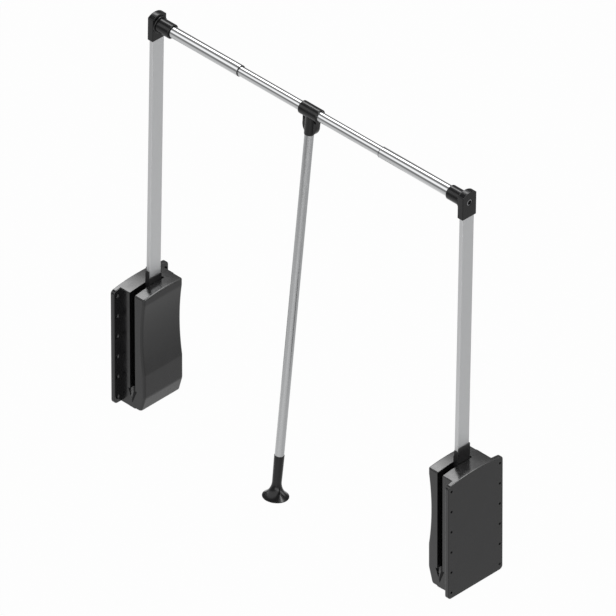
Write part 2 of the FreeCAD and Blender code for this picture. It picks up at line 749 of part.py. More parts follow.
def make_spring_pack():
    """Seat, hydraulic damper between two compression springs, and the damper's piston rod."""
    seat = new_body("left_spring_seat")
    bar = sketch_on(seat, "seat_bar", "YZ_Plane", f"({MECHANISM_X} - crosshead_width / 2)")
    rectangle(bar, "(-crosshead_reach)", "seat_height", RACK_REAR_Y, "(seat_height + seat_thickness)")
    pad(seat, bar, "crosshead_width")
    cylinder = new_body("left_damper_cylinder")
    wall = sketch_on(cylinder, "cylinder_wall", "XZ_Plane", f"(-{DAMPER_Y})")
    outer = f"({MECHANISM_X} + damper_diameter / 2)"
    inner = f"({MECHANISM_X} + damper_bore / 2)"
    gland = f"({MECHANISM_X} + damper_rod / 2 + shaft_fit)"
    outline(wall, [
        (gland, DAMPER_FOOT),
        (outer, DAMPER_FOOT),
        (outer, "seat_height"),
        (MECHANISM_X, "seat_height"),
        (MECHANISM_X, "(seat_height - damper_cap)"),
        (inner, "(seat_height - damper_cap)"),
        (inner, f"({DAMPER_FOOT} + damper_cap)"),
        (gland, f"({DAMPER_FOOT} + damper_cap)"),
    ])
    turned_about(cylinder, wall)
    rod = new_body("left_damper_rod")
    shape = sketch_on(rod, "piston_rod", "XZ_Plane", f"(-{DAMPER_Y})")
    piston = f"({DAMPER_FOOT} + damper_cap + piston_lift)"
    outline(shape, [
        (MECHANISM_X, CROSSHEAD_TOP),
        (f"({MECHANISM_X} + damper_rod / 2)", CROSSHEAD_TOP),
        (f"({MECHANISM_X} + damper_rod / 2)", piston),
        (f"({MECHANISM_X} + damper_bore / 2 - running_fit)", piston),
        (f"({MECHANISM_X} + damper_bore / 2 - running_fit)", f"({piston} + piston_thickness)"),
        (MECHANISM_X, f"({piston} + piston_thickness)"),
    ])
    turned_about(rod, shape)


def turned_about(body, sketch):
    """Turns a sketch about the upright line through the mechanism's middle."""
    middle = number(MECHANISM_X)
    line = sketch.addGeometry(Part.LineSegment(Vector(middle, 0, 0), Vector(middle, middle, 0)), True)
    pin(sketch, line, 1, MECHANISM_X, "0")
    pin(sketch, line, 2, MECHANISM_X, MECHANISM_X)
    revolve(body, sketch, "Axis0")


def make_springs():
    """Two compression springs between the crosshead and the seat."""
    springs = []
    for side_name, y in zip(("front", "rear"), SPRING_POINTS):
        foot = f"({CROSSHEAD_TOP} + spring_wire / 2)"
        coil = doc.addObject("Part::Helix", f"{side_name}_coil")
        coil.setExpression("Radius", sized("(spring_diameter - spring_wire) / 2"))
        coil.setExpression("Pitch", sized("spring_pitch"))
        coil.setExpression("Height", sized(f"seat_height - spring_wire - {CROSSHEAD_TOP}"))
        place(coil, MECHANISM_X, y, foot)
        wire = doc.addObject("Part::Circle", f"{side_name}_wire")
        wire.setExpression("Radius", sized("spring_wire / 2"))
        place(wire, f"({MECHANISM_X} + (spring_diameter - spring_wire) / 2)", y, foot, "90")
        doc.recompute()
        spring = doc.addObject("Part::Sweep", f"{side_name}_spring")
        spring.Sections = [wire]
        spring.Spine = (coil, [f"Edge{index + 1}" for index in range(len(coil.Shape.Edges))])
        spring.Solid = True
        spring.Frenet = True
        springs.append(spring)
    pair = keep(doc.addObject("Part::Compound", "left_springs"), "left_springs")
    pair.Links = springs


def make_buffer():
    """Rubber block on the slot's rear wall, which the raised arm leans against."""
    body = new_body("left_stop_buffer")
    top = f"({arch(BODY_REAR)} - buffer_below_top)"
    face = f"({PIVOT_Y} + ({top} - {PIVOT_Z}) * tan(arm_lean) + shoe_width / 2 / cos(arm_lean) + running_fit)"
    block = sketch_on(body, "buffer_block", "YZ_Plane", "(base_depth + running_fit)")
    rectangle(block, face, f"({top} - buffer_height)", f"({BODY_REAR} - slot_rear_wall)", top)
    pad(body, block, "slot_width - 2 * running_fit")


# Swinging arm, in its own frame: origin on the pivot, Z along the arm ------------------------
def place_on_arm(item):
    place(item, ARM_PLANE, PIVOT_Y, PIVOT_Z, "-arm_lean")


def upright_block(body, name, low, high, width, thickness):
    """A bar along the arm with a rectangular section."""
    sketch = sketch_on(body, name, "XY_Plane", low)
    rectangle(sketch, f"(-{thickness} / 2)", f"(-{width} / 2)", f"({thickness} / 2)", f"({width} / 2)")
    return sketch, f"{high} - {low}"


def make_shoe():
    body = new_body("left_arm_shoe")
    block, length = upright_block(body, "shoe_block", "0", "shoe_top", "shoe_width", "shoe_thickness")
    pad(body, block, length)
    foot = sketch_on(body, "shoe_foot", "YZ_Plane")
    circle(foot, "0", "0", "shoe_width")
    pad(body, foot, "shoe_thickness", middle=True)
    hollow, depth = upright_block(body, "shoe_socket", "(arm_start - socket_fit)", "(shoe_top + arm_wall)",
                                  "(arm_width + 2 * socket_fit)", "(arm_thickness + 2 * socket_fit)")
    pocket(body, hollow, depth, back=True)
    bore = sketch_on(body, "shoe_bore", "YZ_Plane")
    circle(bore, "0", "0", "shaft_diameter + 2 * press_fit")
    pocket(body, bore, middle=True)
    rivets = sketch_on(body, "shoe_rivet_holes", "YZ_Plane")
    for height in ("rivet_first", "rivet_second"):
        circle(rivets, "0", height, "rivet_diameter + 2 * press_fit")
    pocket(body, rivets, middle=True)
    cuts = [
        ("near_cheek", "shoe_near_top", "arm_thickness / 2", "shoe_width"),
        ("front_wall", "shoe_front_top", "(-shoe_thickness)", "(-arm_width / 2)"),
    ]
    for name, low, left, rear in cuts:
        step = sketch_on(body, name, "XY_Plane", low)
        rectangle(step, left, "(-shoe_width)", "shoe_thickness", rear)
        pocket(body, step, "shoe_top", back=True)
    place_on_arm(body)


def make_arm_tube():
    body = new_body("left_arm_tube")
    high = "(arm_reach + tube_above)"
    section, length = upright_block(body, "tube_section", "arm_start", high, "arm_width", "arm_thickness")
    pad(body, section, length)
    soften(body, "arm_corner", lambda edge: along(edge, Z))
    inside, length = upright_block(body, "tube_inside", "(arm_start - arm_wall)", f"({high} + arm_wall)",
                                   "(arm_width - 2 * arm_wall)", "(arm_thickness - 2 * arm_wall)")
    pocket(body, inside, length, back=True)
    holes = sketch_on(body, "tube_holes", "YZ_Plane")
    for height in ("rivet_first", "rivet_second"):
        circle(holes, "0", height, "rivet_diameter + 2 * press_fit")
    circle(holes, "0", "arm_reach", "head_screw + 2 * screw_clearance")
    pocket(body, holes, middle=True)
    place_on_arm(body)


def make_rivets():
    body = new_body("left_arm_rivets")
    sketch = sketch_on(body, "rivets", "YZ_Plane")
    for height in ("rivet_first", "rivet_second"):
        circle(sketch, "0", height, "rivet_diameter")
    pad(body, sketch, "shoe_thickness", middle=True)
    place_on_arm(body)


def make_head():
    """Rod holder: a round-topped block over the arm tube, with a boss that takes the rod."""
    body = new_body("left_arm_head")
    block = sketch_on(body, "head_block", "YZ_Plane", "(-head_thickness / 2)")
    half = "(head_width / 2)"
    rise = "(head_above - head_shoulder)"
    crown = f"(({half}^2 + {rise}^2) / (2 * {rise}))"
    outline(block, [
        (f"(-{half})", "(arm_reach - head_below)"),
        (half, "(arm_reach - head_below)"),
        (half, "(arm_reach + head_shoulder)", crown),
        (f"(-{half})", "(arm_reach + head_shoulder)"),
    ])
    pad(body, block, "head_thickness")
    disc(body, "boss_ring", "(head_thickness / 2)", "boss_ring_length", "boss_ring", None, "0", "arm_reach")
    disc(body, "boss", "(head_thickness / 2)", "boss_length", "boss_diameter", None, "0", "arm_reach")
    groove = sketch_on(body, "rod_groove", "YZ_Plane", "(head_thickness / 2 + rod_seat)")
    circle(groove, "0", "arm_reach", "outer_tube + 2 * press_fit")
    circle(groove, "0", "arm_reach", "outer_tube - 2 * outer_tube_wall - 2 * socket_fit")
    pocket(body, groove, "boss_length", back=True)
    clear = sketch_on(body, "core_end", "YZ_Plane", "(head_thickness / 2 + rod_seat + core_length)")
    circle(clear, "0", "arm_reach", "outer_tube + 2 * press_fit")
    pocket(body, clear, "boss_length", back=True)
    socket, depth = upright_block(body, "head_socket", "(arm_reach - head_below - arm_wall)",
                                  "(arm_reach + tube_above + socket_fit)", "(arm_width + 2 * socket_fit)",
                                  "(arm_thickness + 2 * socket_fit)")
    pocket(body, socket, depth, back=True)
    bore = sketch_on(body, "head_bore", "YZ_Plane", "(head_screw_length - head_thickness / 2)")
    circle(bore, "0", "arm_reach", "head_screw + 2 * press_fit")
    pocket(body, bore)
    sink = sketch_on(body, "screw_sink", "YZ_Plane", "(head_screw_head_height - head_thickness / 2)")
    circle(sink, "0", "arm_reach", "head_screw_head + 2 * socket_fit")
    pocket(body, sink)
    place_on_arm(body)


def make_head_screw():
    body = new_body("left_head_screw")
    face = "(-head_thickness / 2)"
    disc(body, "screw_head", f"({face} + running_fit)", "head_screw_head_height - running_fit",
         "head_screw_head", None, "0", "arm_reach")
    disc(body, "screw_shank", f"({face} + head_screw_head_height)",
         "head_screw_length - head_screw_head_height - running_fit", "head_screw", None, "0", "arm_reach")
    recess = sketch_on(body, "screw_recess", "YZ_Plane", f"({face} + head_screw_head_height - recess_floor)")
    corners = []
    for angle in range(0, 360, 60):
        across = f"(recess_width / sqrt(3) * cos({angle}))"
        up = f"(arm_reach + recess_width / sqrt(3) * sin({angle}))"
        corners.append((across, up))
    outline(recess, corners)
    pocket(body, recess)
    place_on_arm(body)


# Telescopic rod -------------------------------------------------------------------------------
def place_on_rod(item, x="0", lean="0"):
    place(item, x, ROD_Y, ROD_Z, lean)


def make_outer_tube():
    tube = new_body("left_outer_tube")
    disc(tube, "outer_tube", ROD_START, f"{ROD_STEP} - {ROD_START}", "outer_tube",
         "outer_tube - 2 * outer_tube_wall", "0", "0")
    place_on_rod(tube)
    ring = new_body("left_guide_ring")
    hole = "(inner_tube + 2 * ring_fit)"
    disc(ring, "ring_flange", ROD_STEP, "ring_flange", "outer_tube", hole, "0", "0")
    disc(ring, "ring_sleeve", f"({ROD_STEP} - ring_depth)", "ring_depth",
         "outer_tube - 2 * outer_tube_wall - 2 * press_fit", hole, "0", "0")
    place_on_rod(ring)


def make_inner_tube():
    tube = new_body("inner_tube")
    disc(tube, "inner_tube", f"(-{INNER_HALF})", f"2 * {INNER_HALF}", "inner_tube",
         "inner_tube - 2 * inner_tube_wall", "0", "0")
    place_on_rod(tube, MIDDLE)
    liner = new_body("clamp_liner")
    disc(liner, "clamp_liner", "(-clamp_length / 2)", "clamp_length", f"2 * {LINER_RADIUS}",
         "inner_tube + 2 * shaft_fit", "0", "0")
    place_on_rod(liner, MIDDLE)


# Pull handle, in its own frame: origin on the rod's middle, -Z down the handle ---------------
def place_on_handle(item):
    place_on_rod(item, MIDDLE, "-handle_lean")


def make_clamp():
    """Two halves of the tee: sleeve round the rod, tapering web and socket for the handle tube."""
    whole = doc.addObject("PartDesign::Body", "clamp_whole")
    disc(whole, "sleeve", "(-clamp_length / 2)", "clamp_length", f"2 * {CLAMP_RADIUS}", None, "0", "0")
    web = sketch_on(whole, "web", "XZ_Plane", "(-web_rear)")
    half = "(web_width / 2)"
    waist = "(web_waist / 2)"
    foot = "(web_foot / 2)"
    outline(web, [
        (f"(-{half})", "0"),
        (f"(-{half})", "(-web_shoulder)"),
        (f"(-{waist})", "(-web_waist_drop)", "web_round"),
        (f"(-{foot})", "(-clamp_drop)"),
        (foot, "(-clamp_drop)", "web_round"),
        (waist, "(-web_waist_drop)"),
        (half, "(-web_shoulder)"),
        (half, "0"),
    ])
    pad(whole, web, "web_front + web_rear")
    socket = sketch_on(whole, "socket", "XY_Plane", "(-clamp_drop)")
    circle(socket, "0", "0", "socket_diameter")
    pad(whole, socket, "clamp_drop")
    bore = sketch_on(whole, "liner_bore", "YZ_Plane")
    circle(bore, "0", "0", f"2 * ({LINER_RADIUS} + shaft_fit)")
    pocket(whole, bore, middle=True)
    well = sketch_on(whole, "handle_well", "XY_Plane", "(-clamp_drop + socket_depth)")
    circle(well, "0", "0", "handle_tube + 2 * press_fit")
    pocket(whole, well)
    holes = sketch_on(whole, "clamp_screw_holes", "XZ_Plane")
    heads = sketch_on(whole, "clamp_screw_sinks", "XZ_Plane", "(web_front - clamp_screw_head_height)")
    for x in ("(-clamp_screw_spacing / 2)", "(clamp_screw_spacing / 2)"):
        circle(holes, x, "(-clamp_screw_drop)", "clamp_screw + 2 * press_fit")
        circle(heads, x, "(-clamp_screw_drop)", "clamp_screw_head + 2 * socket_fit")
    pocket(whole, holes, "2 * (clamp_screw_bite + running_fit)", middle=True)
    pocket(whole, heads, back=True)
    for label, sign in (("handle_clamp_front", "-1"), ("handle_clamp_rear", "1")):
        slab = doc.addObject("Part::Box", f"{label}_side")
        slab.setExpression("Length", sized("2 * clamp_length"))
        slab.setExpression("Width", sized("2 * clamp_length"))
        slab.setExpression("Height", sized("3 * clamp_length"))
        shift = f"({sign} * (clamp_length + clamp_gap / 2) - clamp_length)"
        place(slab, "(-clamp_length)", shift, "(-2 * clamp_length)")
        common = keep(doc.addObject("Part::MultiCommon", label), label)
        common.Shapes = [whole, slab]
        place_on_handle(common)
    screws = new_body("clamp_screws")
    shanks = sketch_on(screws, "clamp_shanks", "XZ_Plane", "(web_front - clamp_screw_head_height)")
    tops = sketch_on(screws, "clamp_heads", "XZ_Plane", "(web_front - clamp_screw_head_height)")
    for x in ("(-clamp_screw_spacing / 2)", "(clamp_screw_spacing / 2)"):
        circle(shanks, x, "(-clamp_screw_drop)", "clamp_screw")
        circle(tops, x, "(-clamp_screw_drop)", "clamp_screw_head")
    pad(screws, shanks, "web_front - clamp_screw_head_height + clamp_screw_bite", back=True)
    pad(screws, tops, "clamp_screw_head_height")
    place_on_handle(screws)


def make_handle():
    tube = new_body("handle_tube")
    section = sketch_on(tube, "handle_section", "XY_Plane", f"({KNOB_TOP} - knob_socket)")
    circle(section, "0", "0", "handle_tube")
    circle(section, "0", "0", "handle_tube - 2 * handle_tube_wall")
    pad(tube, section, f"socket_depth - clamp_drop - {KNOB_TOP} + knob_socket")
    place_on_handle(tube)
    knob = new_body("handle_knob")
    profile = sketch_on(knob, "knob_profile", "XZ_Plane")
    collar = "(knob_collar / 2)"
    neck = "(knob_neck / 2)"
    edge = "(knob_disc / 2)"
    bottom = "(-handle_length)"
    rim = f"({bottom} + knob_rim)"
    flare = f"({bottom} + knob_rim + knob_flare)"
    well = "(handle_tube / 2 + press_fit)"
    deep = f"({KNOB_TOP} - knob_socket)"
    sweep = f"((({edge} - {neck})^2 + knob_flare^2) / (2 * ({edge} - {neck})))"
    outline(profile, [
        ("0", bottom),
        (f"({edge} - knob_edge)", bottom),
        (edge, f"({bottom} + knob_edge)"),
        (edge, rim, f"(-{sweep})"),
        (neck, flare),
        (collar, f"({KNOB_TOP} - knob_collar_height)"),
        (collar, KNOB_TOP),
        (well, KNOB_TOP),
        (well, deep),
        ("0", deep),
    ])
    revolve(knob, profile)
    soften(knob, "knob_round", lambda item: near(middle_of(item).z, number(KNOB_TOP))
           and item.BoundBox.XLength > number("handle_tube") + 1)
    place_on_handle(knob)


def mirror_to_the_right():
    """The right-hand unit is the left-hand one mirrored in the plane midway between the walls."""
    for item in list(parts):
        if not item.Label.startswith("left_"):
            continue
        label = item.Label.replace("left_", "right_")
        twin = keep(doc.addObject("Part::Mirroring", label), label)
        twin.Source = item
        twin.Normal = X
        twin.setExpression("Base.x", sized(MIDDLE))


def write_parts():
    """Checks every object, then writes each piece to its own file."""
    doc.recompute()
    for item in doc.Objects:
        if "Invalid" in item.State or "Error" in item.State:
            raise RuntimeError(f"{item.Label} did not compute: {item.State}")
    os.makedirs("parts", exist_ok=True)
    for item in parts:
        shape = item.Shape
        if shape.isNull() or not shape.isValid() or not shape.Solids:
            raise RuntimeError(f"{item.Label} is not a valid solid")
        shape.exportStep(f"parts/{item.Label}.step")
        print(f"{item.Label}: {len(shape.Solids)} solid(s), {shape.Volume / 1000:.2f} cm3")


make_base()
make_side_plate("left_wall_side_plate", PLATE_SEAT)
make_spacer()
make_side_plate("left_cover_side_plate", SLOT_END)
make_cover()
make_frame_screws()
make_bushes()
make_shaft()
make_pinion()
make_rack()
make_spring_pack()
make_springs()
make_buffer()
make_shoe()
make_arm_tube()
make_rivets()
make_head()
make_head_screw()
make_outer_tube()
make_inner_tube()
make_clamp()
make_handle()
mirror_to_the_right()
write_parts()
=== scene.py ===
import math

import bmesh
import bpy
from mathutils import Matrix, Vector


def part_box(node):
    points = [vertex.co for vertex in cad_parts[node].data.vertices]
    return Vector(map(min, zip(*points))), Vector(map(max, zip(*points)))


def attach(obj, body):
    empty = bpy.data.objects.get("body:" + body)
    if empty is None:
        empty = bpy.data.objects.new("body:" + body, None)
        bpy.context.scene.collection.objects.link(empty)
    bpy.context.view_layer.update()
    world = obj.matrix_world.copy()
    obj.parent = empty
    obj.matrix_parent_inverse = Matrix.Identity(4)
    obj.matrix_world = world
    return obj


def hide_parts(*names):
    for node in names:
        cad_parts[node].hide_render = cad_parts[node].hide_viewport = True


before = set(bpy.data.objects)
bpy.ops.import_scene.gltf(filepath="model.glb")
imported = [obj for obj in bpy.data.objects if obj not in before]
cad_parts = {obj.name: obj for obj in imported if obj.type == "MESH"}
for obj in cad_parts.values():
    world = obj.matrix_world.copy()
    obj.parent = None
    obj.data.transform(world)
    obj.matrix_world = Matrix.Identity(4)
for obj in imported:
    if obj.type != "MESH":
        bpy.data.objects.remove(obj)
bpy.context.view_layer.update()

mm = 0.001
sides = ("left", "right")
print("frame loaded:", len(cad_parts), "nodes")

# The rod's middle, where the sleeve sits, and the line of each arm
rodMiddle = Vector((431.5, 15.04, 697.01)) * mm
armPlane = {"left": 38.5 * mm, "right": 824.5 * mm}
inward = {"left": 1, "right": -1}


# Meshes

meshing = {
    "weld": 0.002,                       # mm; corners nearer than this are one
    "flatAngle": 0.5,                    # faces that turn less than this are one flat face
    "sharpAngle": 32,                    # edges that turn more than this get a small radius
    "smallestChain": 14,                 # mm; edges of smaller holes and marks stay crisp
    "bevelSteps": 3,
    "latheSharpAngle": 50,
    "cornerShare": 0.45,                 # most of a side that a rounded corner takes up
    "smallestCorner": 0.02,              # mm; a corner with less room stays sharp
}


def linkedPiece(name, mesh):
    piece = bpy.data.objects.new(name, mesh)
    bpy.context.scene.collection.objects.link(piece)
    return piece


def shadeSmooth(mesh, sharpAngle):
    for polygon in mesh.polygons:
        polygon.use_smooth = True
    mesh.set_sharp_from_angle(angle=math.radians(sharpAngle))


def cadCopy(node, name):
    # a merged copy of a CAD solid, with its flat faces joined again
    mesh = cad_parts[node].data.copy()
    mesh.name = name
    mesh.materials.clear()
    # the solid's own normals would bend the shading of the joined faces
    if "custom_normal" in mesh.attributes:
        mesh.attributes.remove(mesh.attributes["custom_normal"])
    shape = bmesh.new()
    shape.from_mesh(mesh)
    bmesh.ops.remove_doubles(shape, verts=shape.verts, dist=meshing["weld"] * mm)
    bmesh.ops.dissolve_limit(shape, angle_limit=math.radians(meshing["flatAngle"]),
                             verts=shape.verts, edges=shape.edges)
    shape.to_mesh(mesh)
    shape.free()
    return linkedPiece(name, mesh)


def sharpChains(shape, angle):
    # the sharp outer edges of a mesh, in chains that touch each other
    left = {edge for edge in shape.edges if edge.is_manifold and edge.calc_face_angle_signed() > angle}
    while left:
        chain = []
        waiting = [left.pop()]
        while waiting:
            edge = waiting.pop()
            chain.append(edge)
            near = {other for vert in edge.verts for other in vert.link_edges} & left
            left -= near
            waiting += near
        yield chain


def easeEdges(piece, width, share=None):
    # the small radius that a mould or a deburring wheel leaves
    # share gives the part of the width that an edge gets from its middle
    mesh = piece.data
    shape = bmesh.new()
    shape.from_mesh(mesh)
    weight = shape.edges.layers.float.new("bevel_weight_edge")
    for chain in sharpChains(shape, math.radians(meshing["sharpAngle"])):
        corners = [vert.co for edge in chain for vert in edge.verts]
        spans = [max(c[k] for c in corners) - min(c[k] for c in corners) for k in range(3)]
        if max(spans) > meshing["smallestChain"] * mm:
            for edge in chain:
                edge[weight] = share((edge.verts[0].co + edge.verts[1].co) / 2) if share else 1.0
    shape.to_mesh(mesh)
    shape.free()
    shadeSmooth(mesh, meshing["sharpAngle"])
    bevel = piece.modifiers.new("easedEdges", "BEVEL")
    bevel.width = width * mm
    bevel.segments = meshing["bevelSteps"]
    bevel.limit_method = "WEIGHT"
    bevel.use_clamp_overlap = False
    even = piece.modifiers.new("evenShading", "WEIGHTED_NORMAL")
    even.keep_sharp = True
    return piece


def finished(piece, finish, body, *nodes, slot=None):
    # a piece gets its finish, the body that it moves with and the CAD nodes that it stands for
    if not piece.data.materials:
        piece.data.materials.append(finishes[finish])
    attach(piece, body)
    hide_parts(*nodes)


def easedSolid(node, name, width, finish, body, share=None):
    # a CAD solid shown with eased edges
    finished(easeEdges(cadCopy(node, name), width, share), finish, body, node)


def lathe(name, outline, place, steps=96):
    # outline: closed line of (along, radius) in mm, turned about its own axis; place carries +Z to the axis
    mesh = bpy.data.meshes.new(name)
    shape = bmesh.new()
    rings = []
    for along, radius in outline:
        if radius == 0:
            rings.append([shape.verts.new((0, 0, along * mm))])
            continue
        turns = [2 * math.pi * k / steps for k in range(steps)]
        rings.append([shape.verts.new((radius * mm * math.cos(t), radius * mm * math.sin(t), along * mm))
                      for t in turns])
    for first, second in zip(rings, rings[1:] + rings[:1]):
        if len(first) == 1 and len(second) == 1:
            continue
        for k in range(steps):
            n = (k + 1) % steps
            corners = [first[k % len(first)], first[n % len(first)],
                       second[n % len(second)], second[k % len(second)]]
            shape.faces.new(list(dict.fromkeys(corners)))
    bmesh.ops.recalc_face_normals(shape, faces=shape.faces)
    shape.transform(place)
    shape.to_mesh(mesh)
    shape.free()
    shadeSmooth(mesh, meshing["latheSharpAngle"])
    return linkedPiece(name, mesh)


def rounded(corners, radius, steps=4):
    # rounds a closed outline of (along, radius, own rounding); corners on the axis stay as they are
    points = []
    count = len(corners)
    for i, corner in enumerate(corners):
        here = Vector(corner[:2])
        size = corner[2] if len(corner) > 2 else radius
        before = Vector(corners[i - 1][:2]) - here
        after = Vector(corners[(i + 1) % count][:2]) - here
        reach = min(size, meshing["cornerShare"] * before.length, meshing["cornerShare"] * after.length)
        if here.y == 0 or reach < meshing["smallestCorner"]:
            points.append(tuple(here))
            continue
        start = here + before.normalized() * reach
        end = here + after.normalized() * reach
        for k in range(steps + 1):
            t = k / steps
            points.append(tuple(start * (1 - t) ** 2 + here * 2 * t * (1 - t) + end * t ** 2))
    return points


def alongRod(x):
    # carries +Z to +X, with its zero at x on the rod's line
    return Matrix.Translation((x, rodMiddle.y, rodMiddle.z)) @ Matrix.Rotation(math.radians(90), 4, "Y")


# Nodes

def linearColour(hexText):
    # a written colour in the linear values that nodes take
    parts = [int(hexText[i:i + 2], 16) / 255 for i in (1, 3, 5)]
    return [c / 12.92 if c <= 0.04045 else ((c + 0.055) / 1.055) ** 2.4 for c in parts] + [1.0]


def addNode(tree, kind, settings=None):
    # settings: the node's own choices, and for an input its value or the socket that feeds it
    node = tree.nodes.new(kind)
    for key, value in (settings or {}).items():
        if isinstance(key, str) and hasattr(node, key):
            setattr(node, key, value)
        elif isinstance(value, bpy.types.NodeSocket):
            tree.links.new(value, node.inputs[key])
        else:
            node.inputs[key].default_value = value
    return node


def maths(tree, operation, first, second=0.0):
    return addNode(tree, "ShaderNodeMath", {"operation": operation, 0: first, 1: second}).outputs[0]


def mapped(tree, value, source, target, curve="LINEAR"):
    # carries a value from the source range over to the target range
    return addNode(tree, "ShaderNodeMapRange", {
        "interpolation_type": curve, "Value": value, "From Min": source[0], "From Max": source[1],
        "To Min": target[0], "To Max": target[1]}).outputs["Result"]


def mixColour(tree, share, first, second):
    # inputs 6 and 7 and output 2 are the colours among this node's sockets
    return addNode(tree, "ShaderNodeMix", {"data_type": "RGBA", 0: share, 6: first, 7: second}).outputs[2]


def mixShader(tree, share, first, second):
    return addNode(tree, "ShaderNodeMixShader", {0: share, 1: first, 2: second}).outputs[0]


def greyRamp(tree, along, levels):
    # levels: (place from 0 to 1, grey)
    ramp = addNode(tree, "ShaderNodeValToRGB", {"Fac": along})
    stops = ramp.color_ramp.elements
    while len(stops) > 1:
        stops.remove(stops[0])
    for index, (place, grey) in enumerate(levels):
        stop = stops[0] if index == 0 else stops.new(place)
        stop.position = place
        stop.color = (grey, grey, grey, 1)
    ramp.color_ramp.interpolation = "EASE"
    return ramp.outputs["Color"]


# Camera

view = {
    "azimuth": 44.947,
    "elevation": 35.788,
    "roll": -0.108,
    "target": (431.98 * mm, 5.17 * mm, 267.2 * mm),
    "frameWidth": 1112.0 * mm,
    "lens": 1650,
    "sensor": 36,
    "clipStart": 1.0,
    "clipReach": 3,                      # times the camera's distance
}


def makeCamera():
    azimuth, elevation = math.radians(view["azimuth"]), math.radians(view["elevation"])
    back = Vector((math.sin(azimuth) * math.cos(elevation), -math.cos(azimuth) * math.cos(elevation),
                   math.sin(elevation)))
    distance = view["frameWidth"] * view["lens"] / view["sensor"]
    data = bpy.data.cameras.new("camera")
    data.lens = view["lens"]
    data.sensor_width = view["sensor"]
    data.clip_start = view["clipStart"]
    data.clip_end = view["clipReach"] * distance
    camera = bpy.data.objects.new("camera", data)
    camera.location = Vector(view["target"]) + back * distance
    turn = Matrix.Rotation(math.radians(view["roll"]), 3, "Z")
    camera.rotation_euler = ((-back).to_track_quat("-Z", "Y").to_matrix() @ turn).to_euler()
    bpy.context.scene.collection.objects.link(camera)
    bpy.context.scene.camera = camera


makeCamera()
print("camera made")


# Studio

white = (1, 1, 1, 1)

studio = {
    "softLight": 0.55,                   # what matt surfaces get from all round
    "keyStrength": 1.6,
    "keyFrom": (-0.58, -0.82, 0.85),
    "keyAngle": 25,
    "backdrop": "#fdfdfd",
    "floorColour": "#f2f2f2",
    "floorDrop": 900 * mm,               # floor below the plates' middle
    "floorRadius": 5000 * mm,
    "floorSides": 96,
    "floorShine": 0.93,                  # share of the floor that looks plain white instead of shaded
    # what the floor gives back to polished surfaces: distance to the right rear in mm, brightness
    "floorPool": [(-4500, 0.74), (-1650, 0.78), (-1150, 0.78), (-650, 1.0), (200, 0.92), (1200, 0.72),
                  (1800, 0.64), (4500, 0.62)],
    "toRightRear": (0.7071, 0.7071, 0),
    # what polished surfaces see round the rod's axis: degrees up from behind, brightness
    "surround": [(0, 0.22), (10, 0.20), (28, 0.25), (36, 0.7), (46, 1.25), (54, 5.0), (62, 9.0), (69, 2.4),
                 (79, 0.9), (88, 0.3), (112, 0.3), (127, 1.5), (152, 1.5), (165, 0.3), (188, 0.3),
                 (204, 0.74), (244, 0.78), (262, 1.0), (300, 0.9), (335, 0.35), (360, 0.22)],
    "surroundTop": 9.0,                  # brightness that the ramp's white stands for
    # a low panel of light to the right, just above the horizon, seen by polished surfaces too
    "panelStrength": 2.4,
    "panelRight": (0.05, 0.5),           # comes up between these shares of the way to the right
    "panelHeight": 0.1,                  # its middle, as a share of the way up
    "panelFade": (0.06, 0.2),            # fades out between these, above and below its middle
}


def background(tree, colour, strength):
    return addNode(tree, "ShaderNodeBackground", {"Color": colour, "Strength": strength}).outputs[0]


def makeWorld():
    world = bpy.data.worlds.new("studio")
    bpy.context.scene.world = world
    world.use_nodes = True
    tree = world.node_tree
    tree.nodes.clear()
    rays = addNode(tree, "ShaderNodeLightPath").outputs
    direction = addNode(tree, "ShaderNodeTexCoord").outputs["Generated"]
    parts = addNode(tree, "ShaderNodeSeparateXYZ", {0: direction}).outputs

    # the light round the rod, which polished surfaces see
    turn = maths(tree, "DIVIDE", maths(tree, "ARCTAN2", parts["Z"], parts["Y"]), 2 * math.pi)
    levels = [(angle / 360, level / studio["surroundTop"]) for angle, level in studio["surround"]]
    ramp = greyRamp(tree, maths(tree, "FRACT", turn), levels)
    polished = background(tree, ramp, studio["surroundTop"])

    # the low panel, added to it
    toRight = mapped(tree, parts["X"], studio["panelRight"], (0.0, 1.0), "SMOOTHSTEP")
    height = maths(tree, "ABSOLUTE", maths(tree, "SUBTRACT", parts["Z"], studio["panelHeight"]))
    low = mapped(tree, height, studio["panelFade"], (studio["panelStrength"], 0.0), "SMOOTHSTEP")
    panel = background(tree, white, maths(tree, "MULTIPLY", toRight, low))
    shiny = addNode(tree, "ShaderNodeAddShader", {0: polished, 1: panel}).outputs[0]

    # soft light for matt surfaces, and the plain backdrop behind everything
    soft = background(tree, white, studio["softLight"])
    plain = background(tree, linearColour(studio["backdrop"]), 1.0)
    seen = maths(tree, "MAXIMUM", rays["Is Glossy Ray"], rays["Is Transmission Ray"])
    lit = mixShader(tree, seen, soft, shiny)
    addNode(tree, "ShaderNodeOutputWorld", {"Surface": mixShader(tree, rays["Is Camera Ray"], lit, plain)})


def makeKeyLamp():
    data = bpy.data.lights.new("keyLamp", "SUN")
    data.energy = studio["keyStrength"]
    data.angle = math.radians(studio["keyAngle"])
    lamp = bpy.data.objects.new("keyLamp", data)
    lamp.rotation_euler = Vector(studio["keyFrom"]).to_track_quat("Z", "Y").to_euler()
    lamp.visible_glossy = False
    bpy.context.scene.collection.objects.link(lamp)


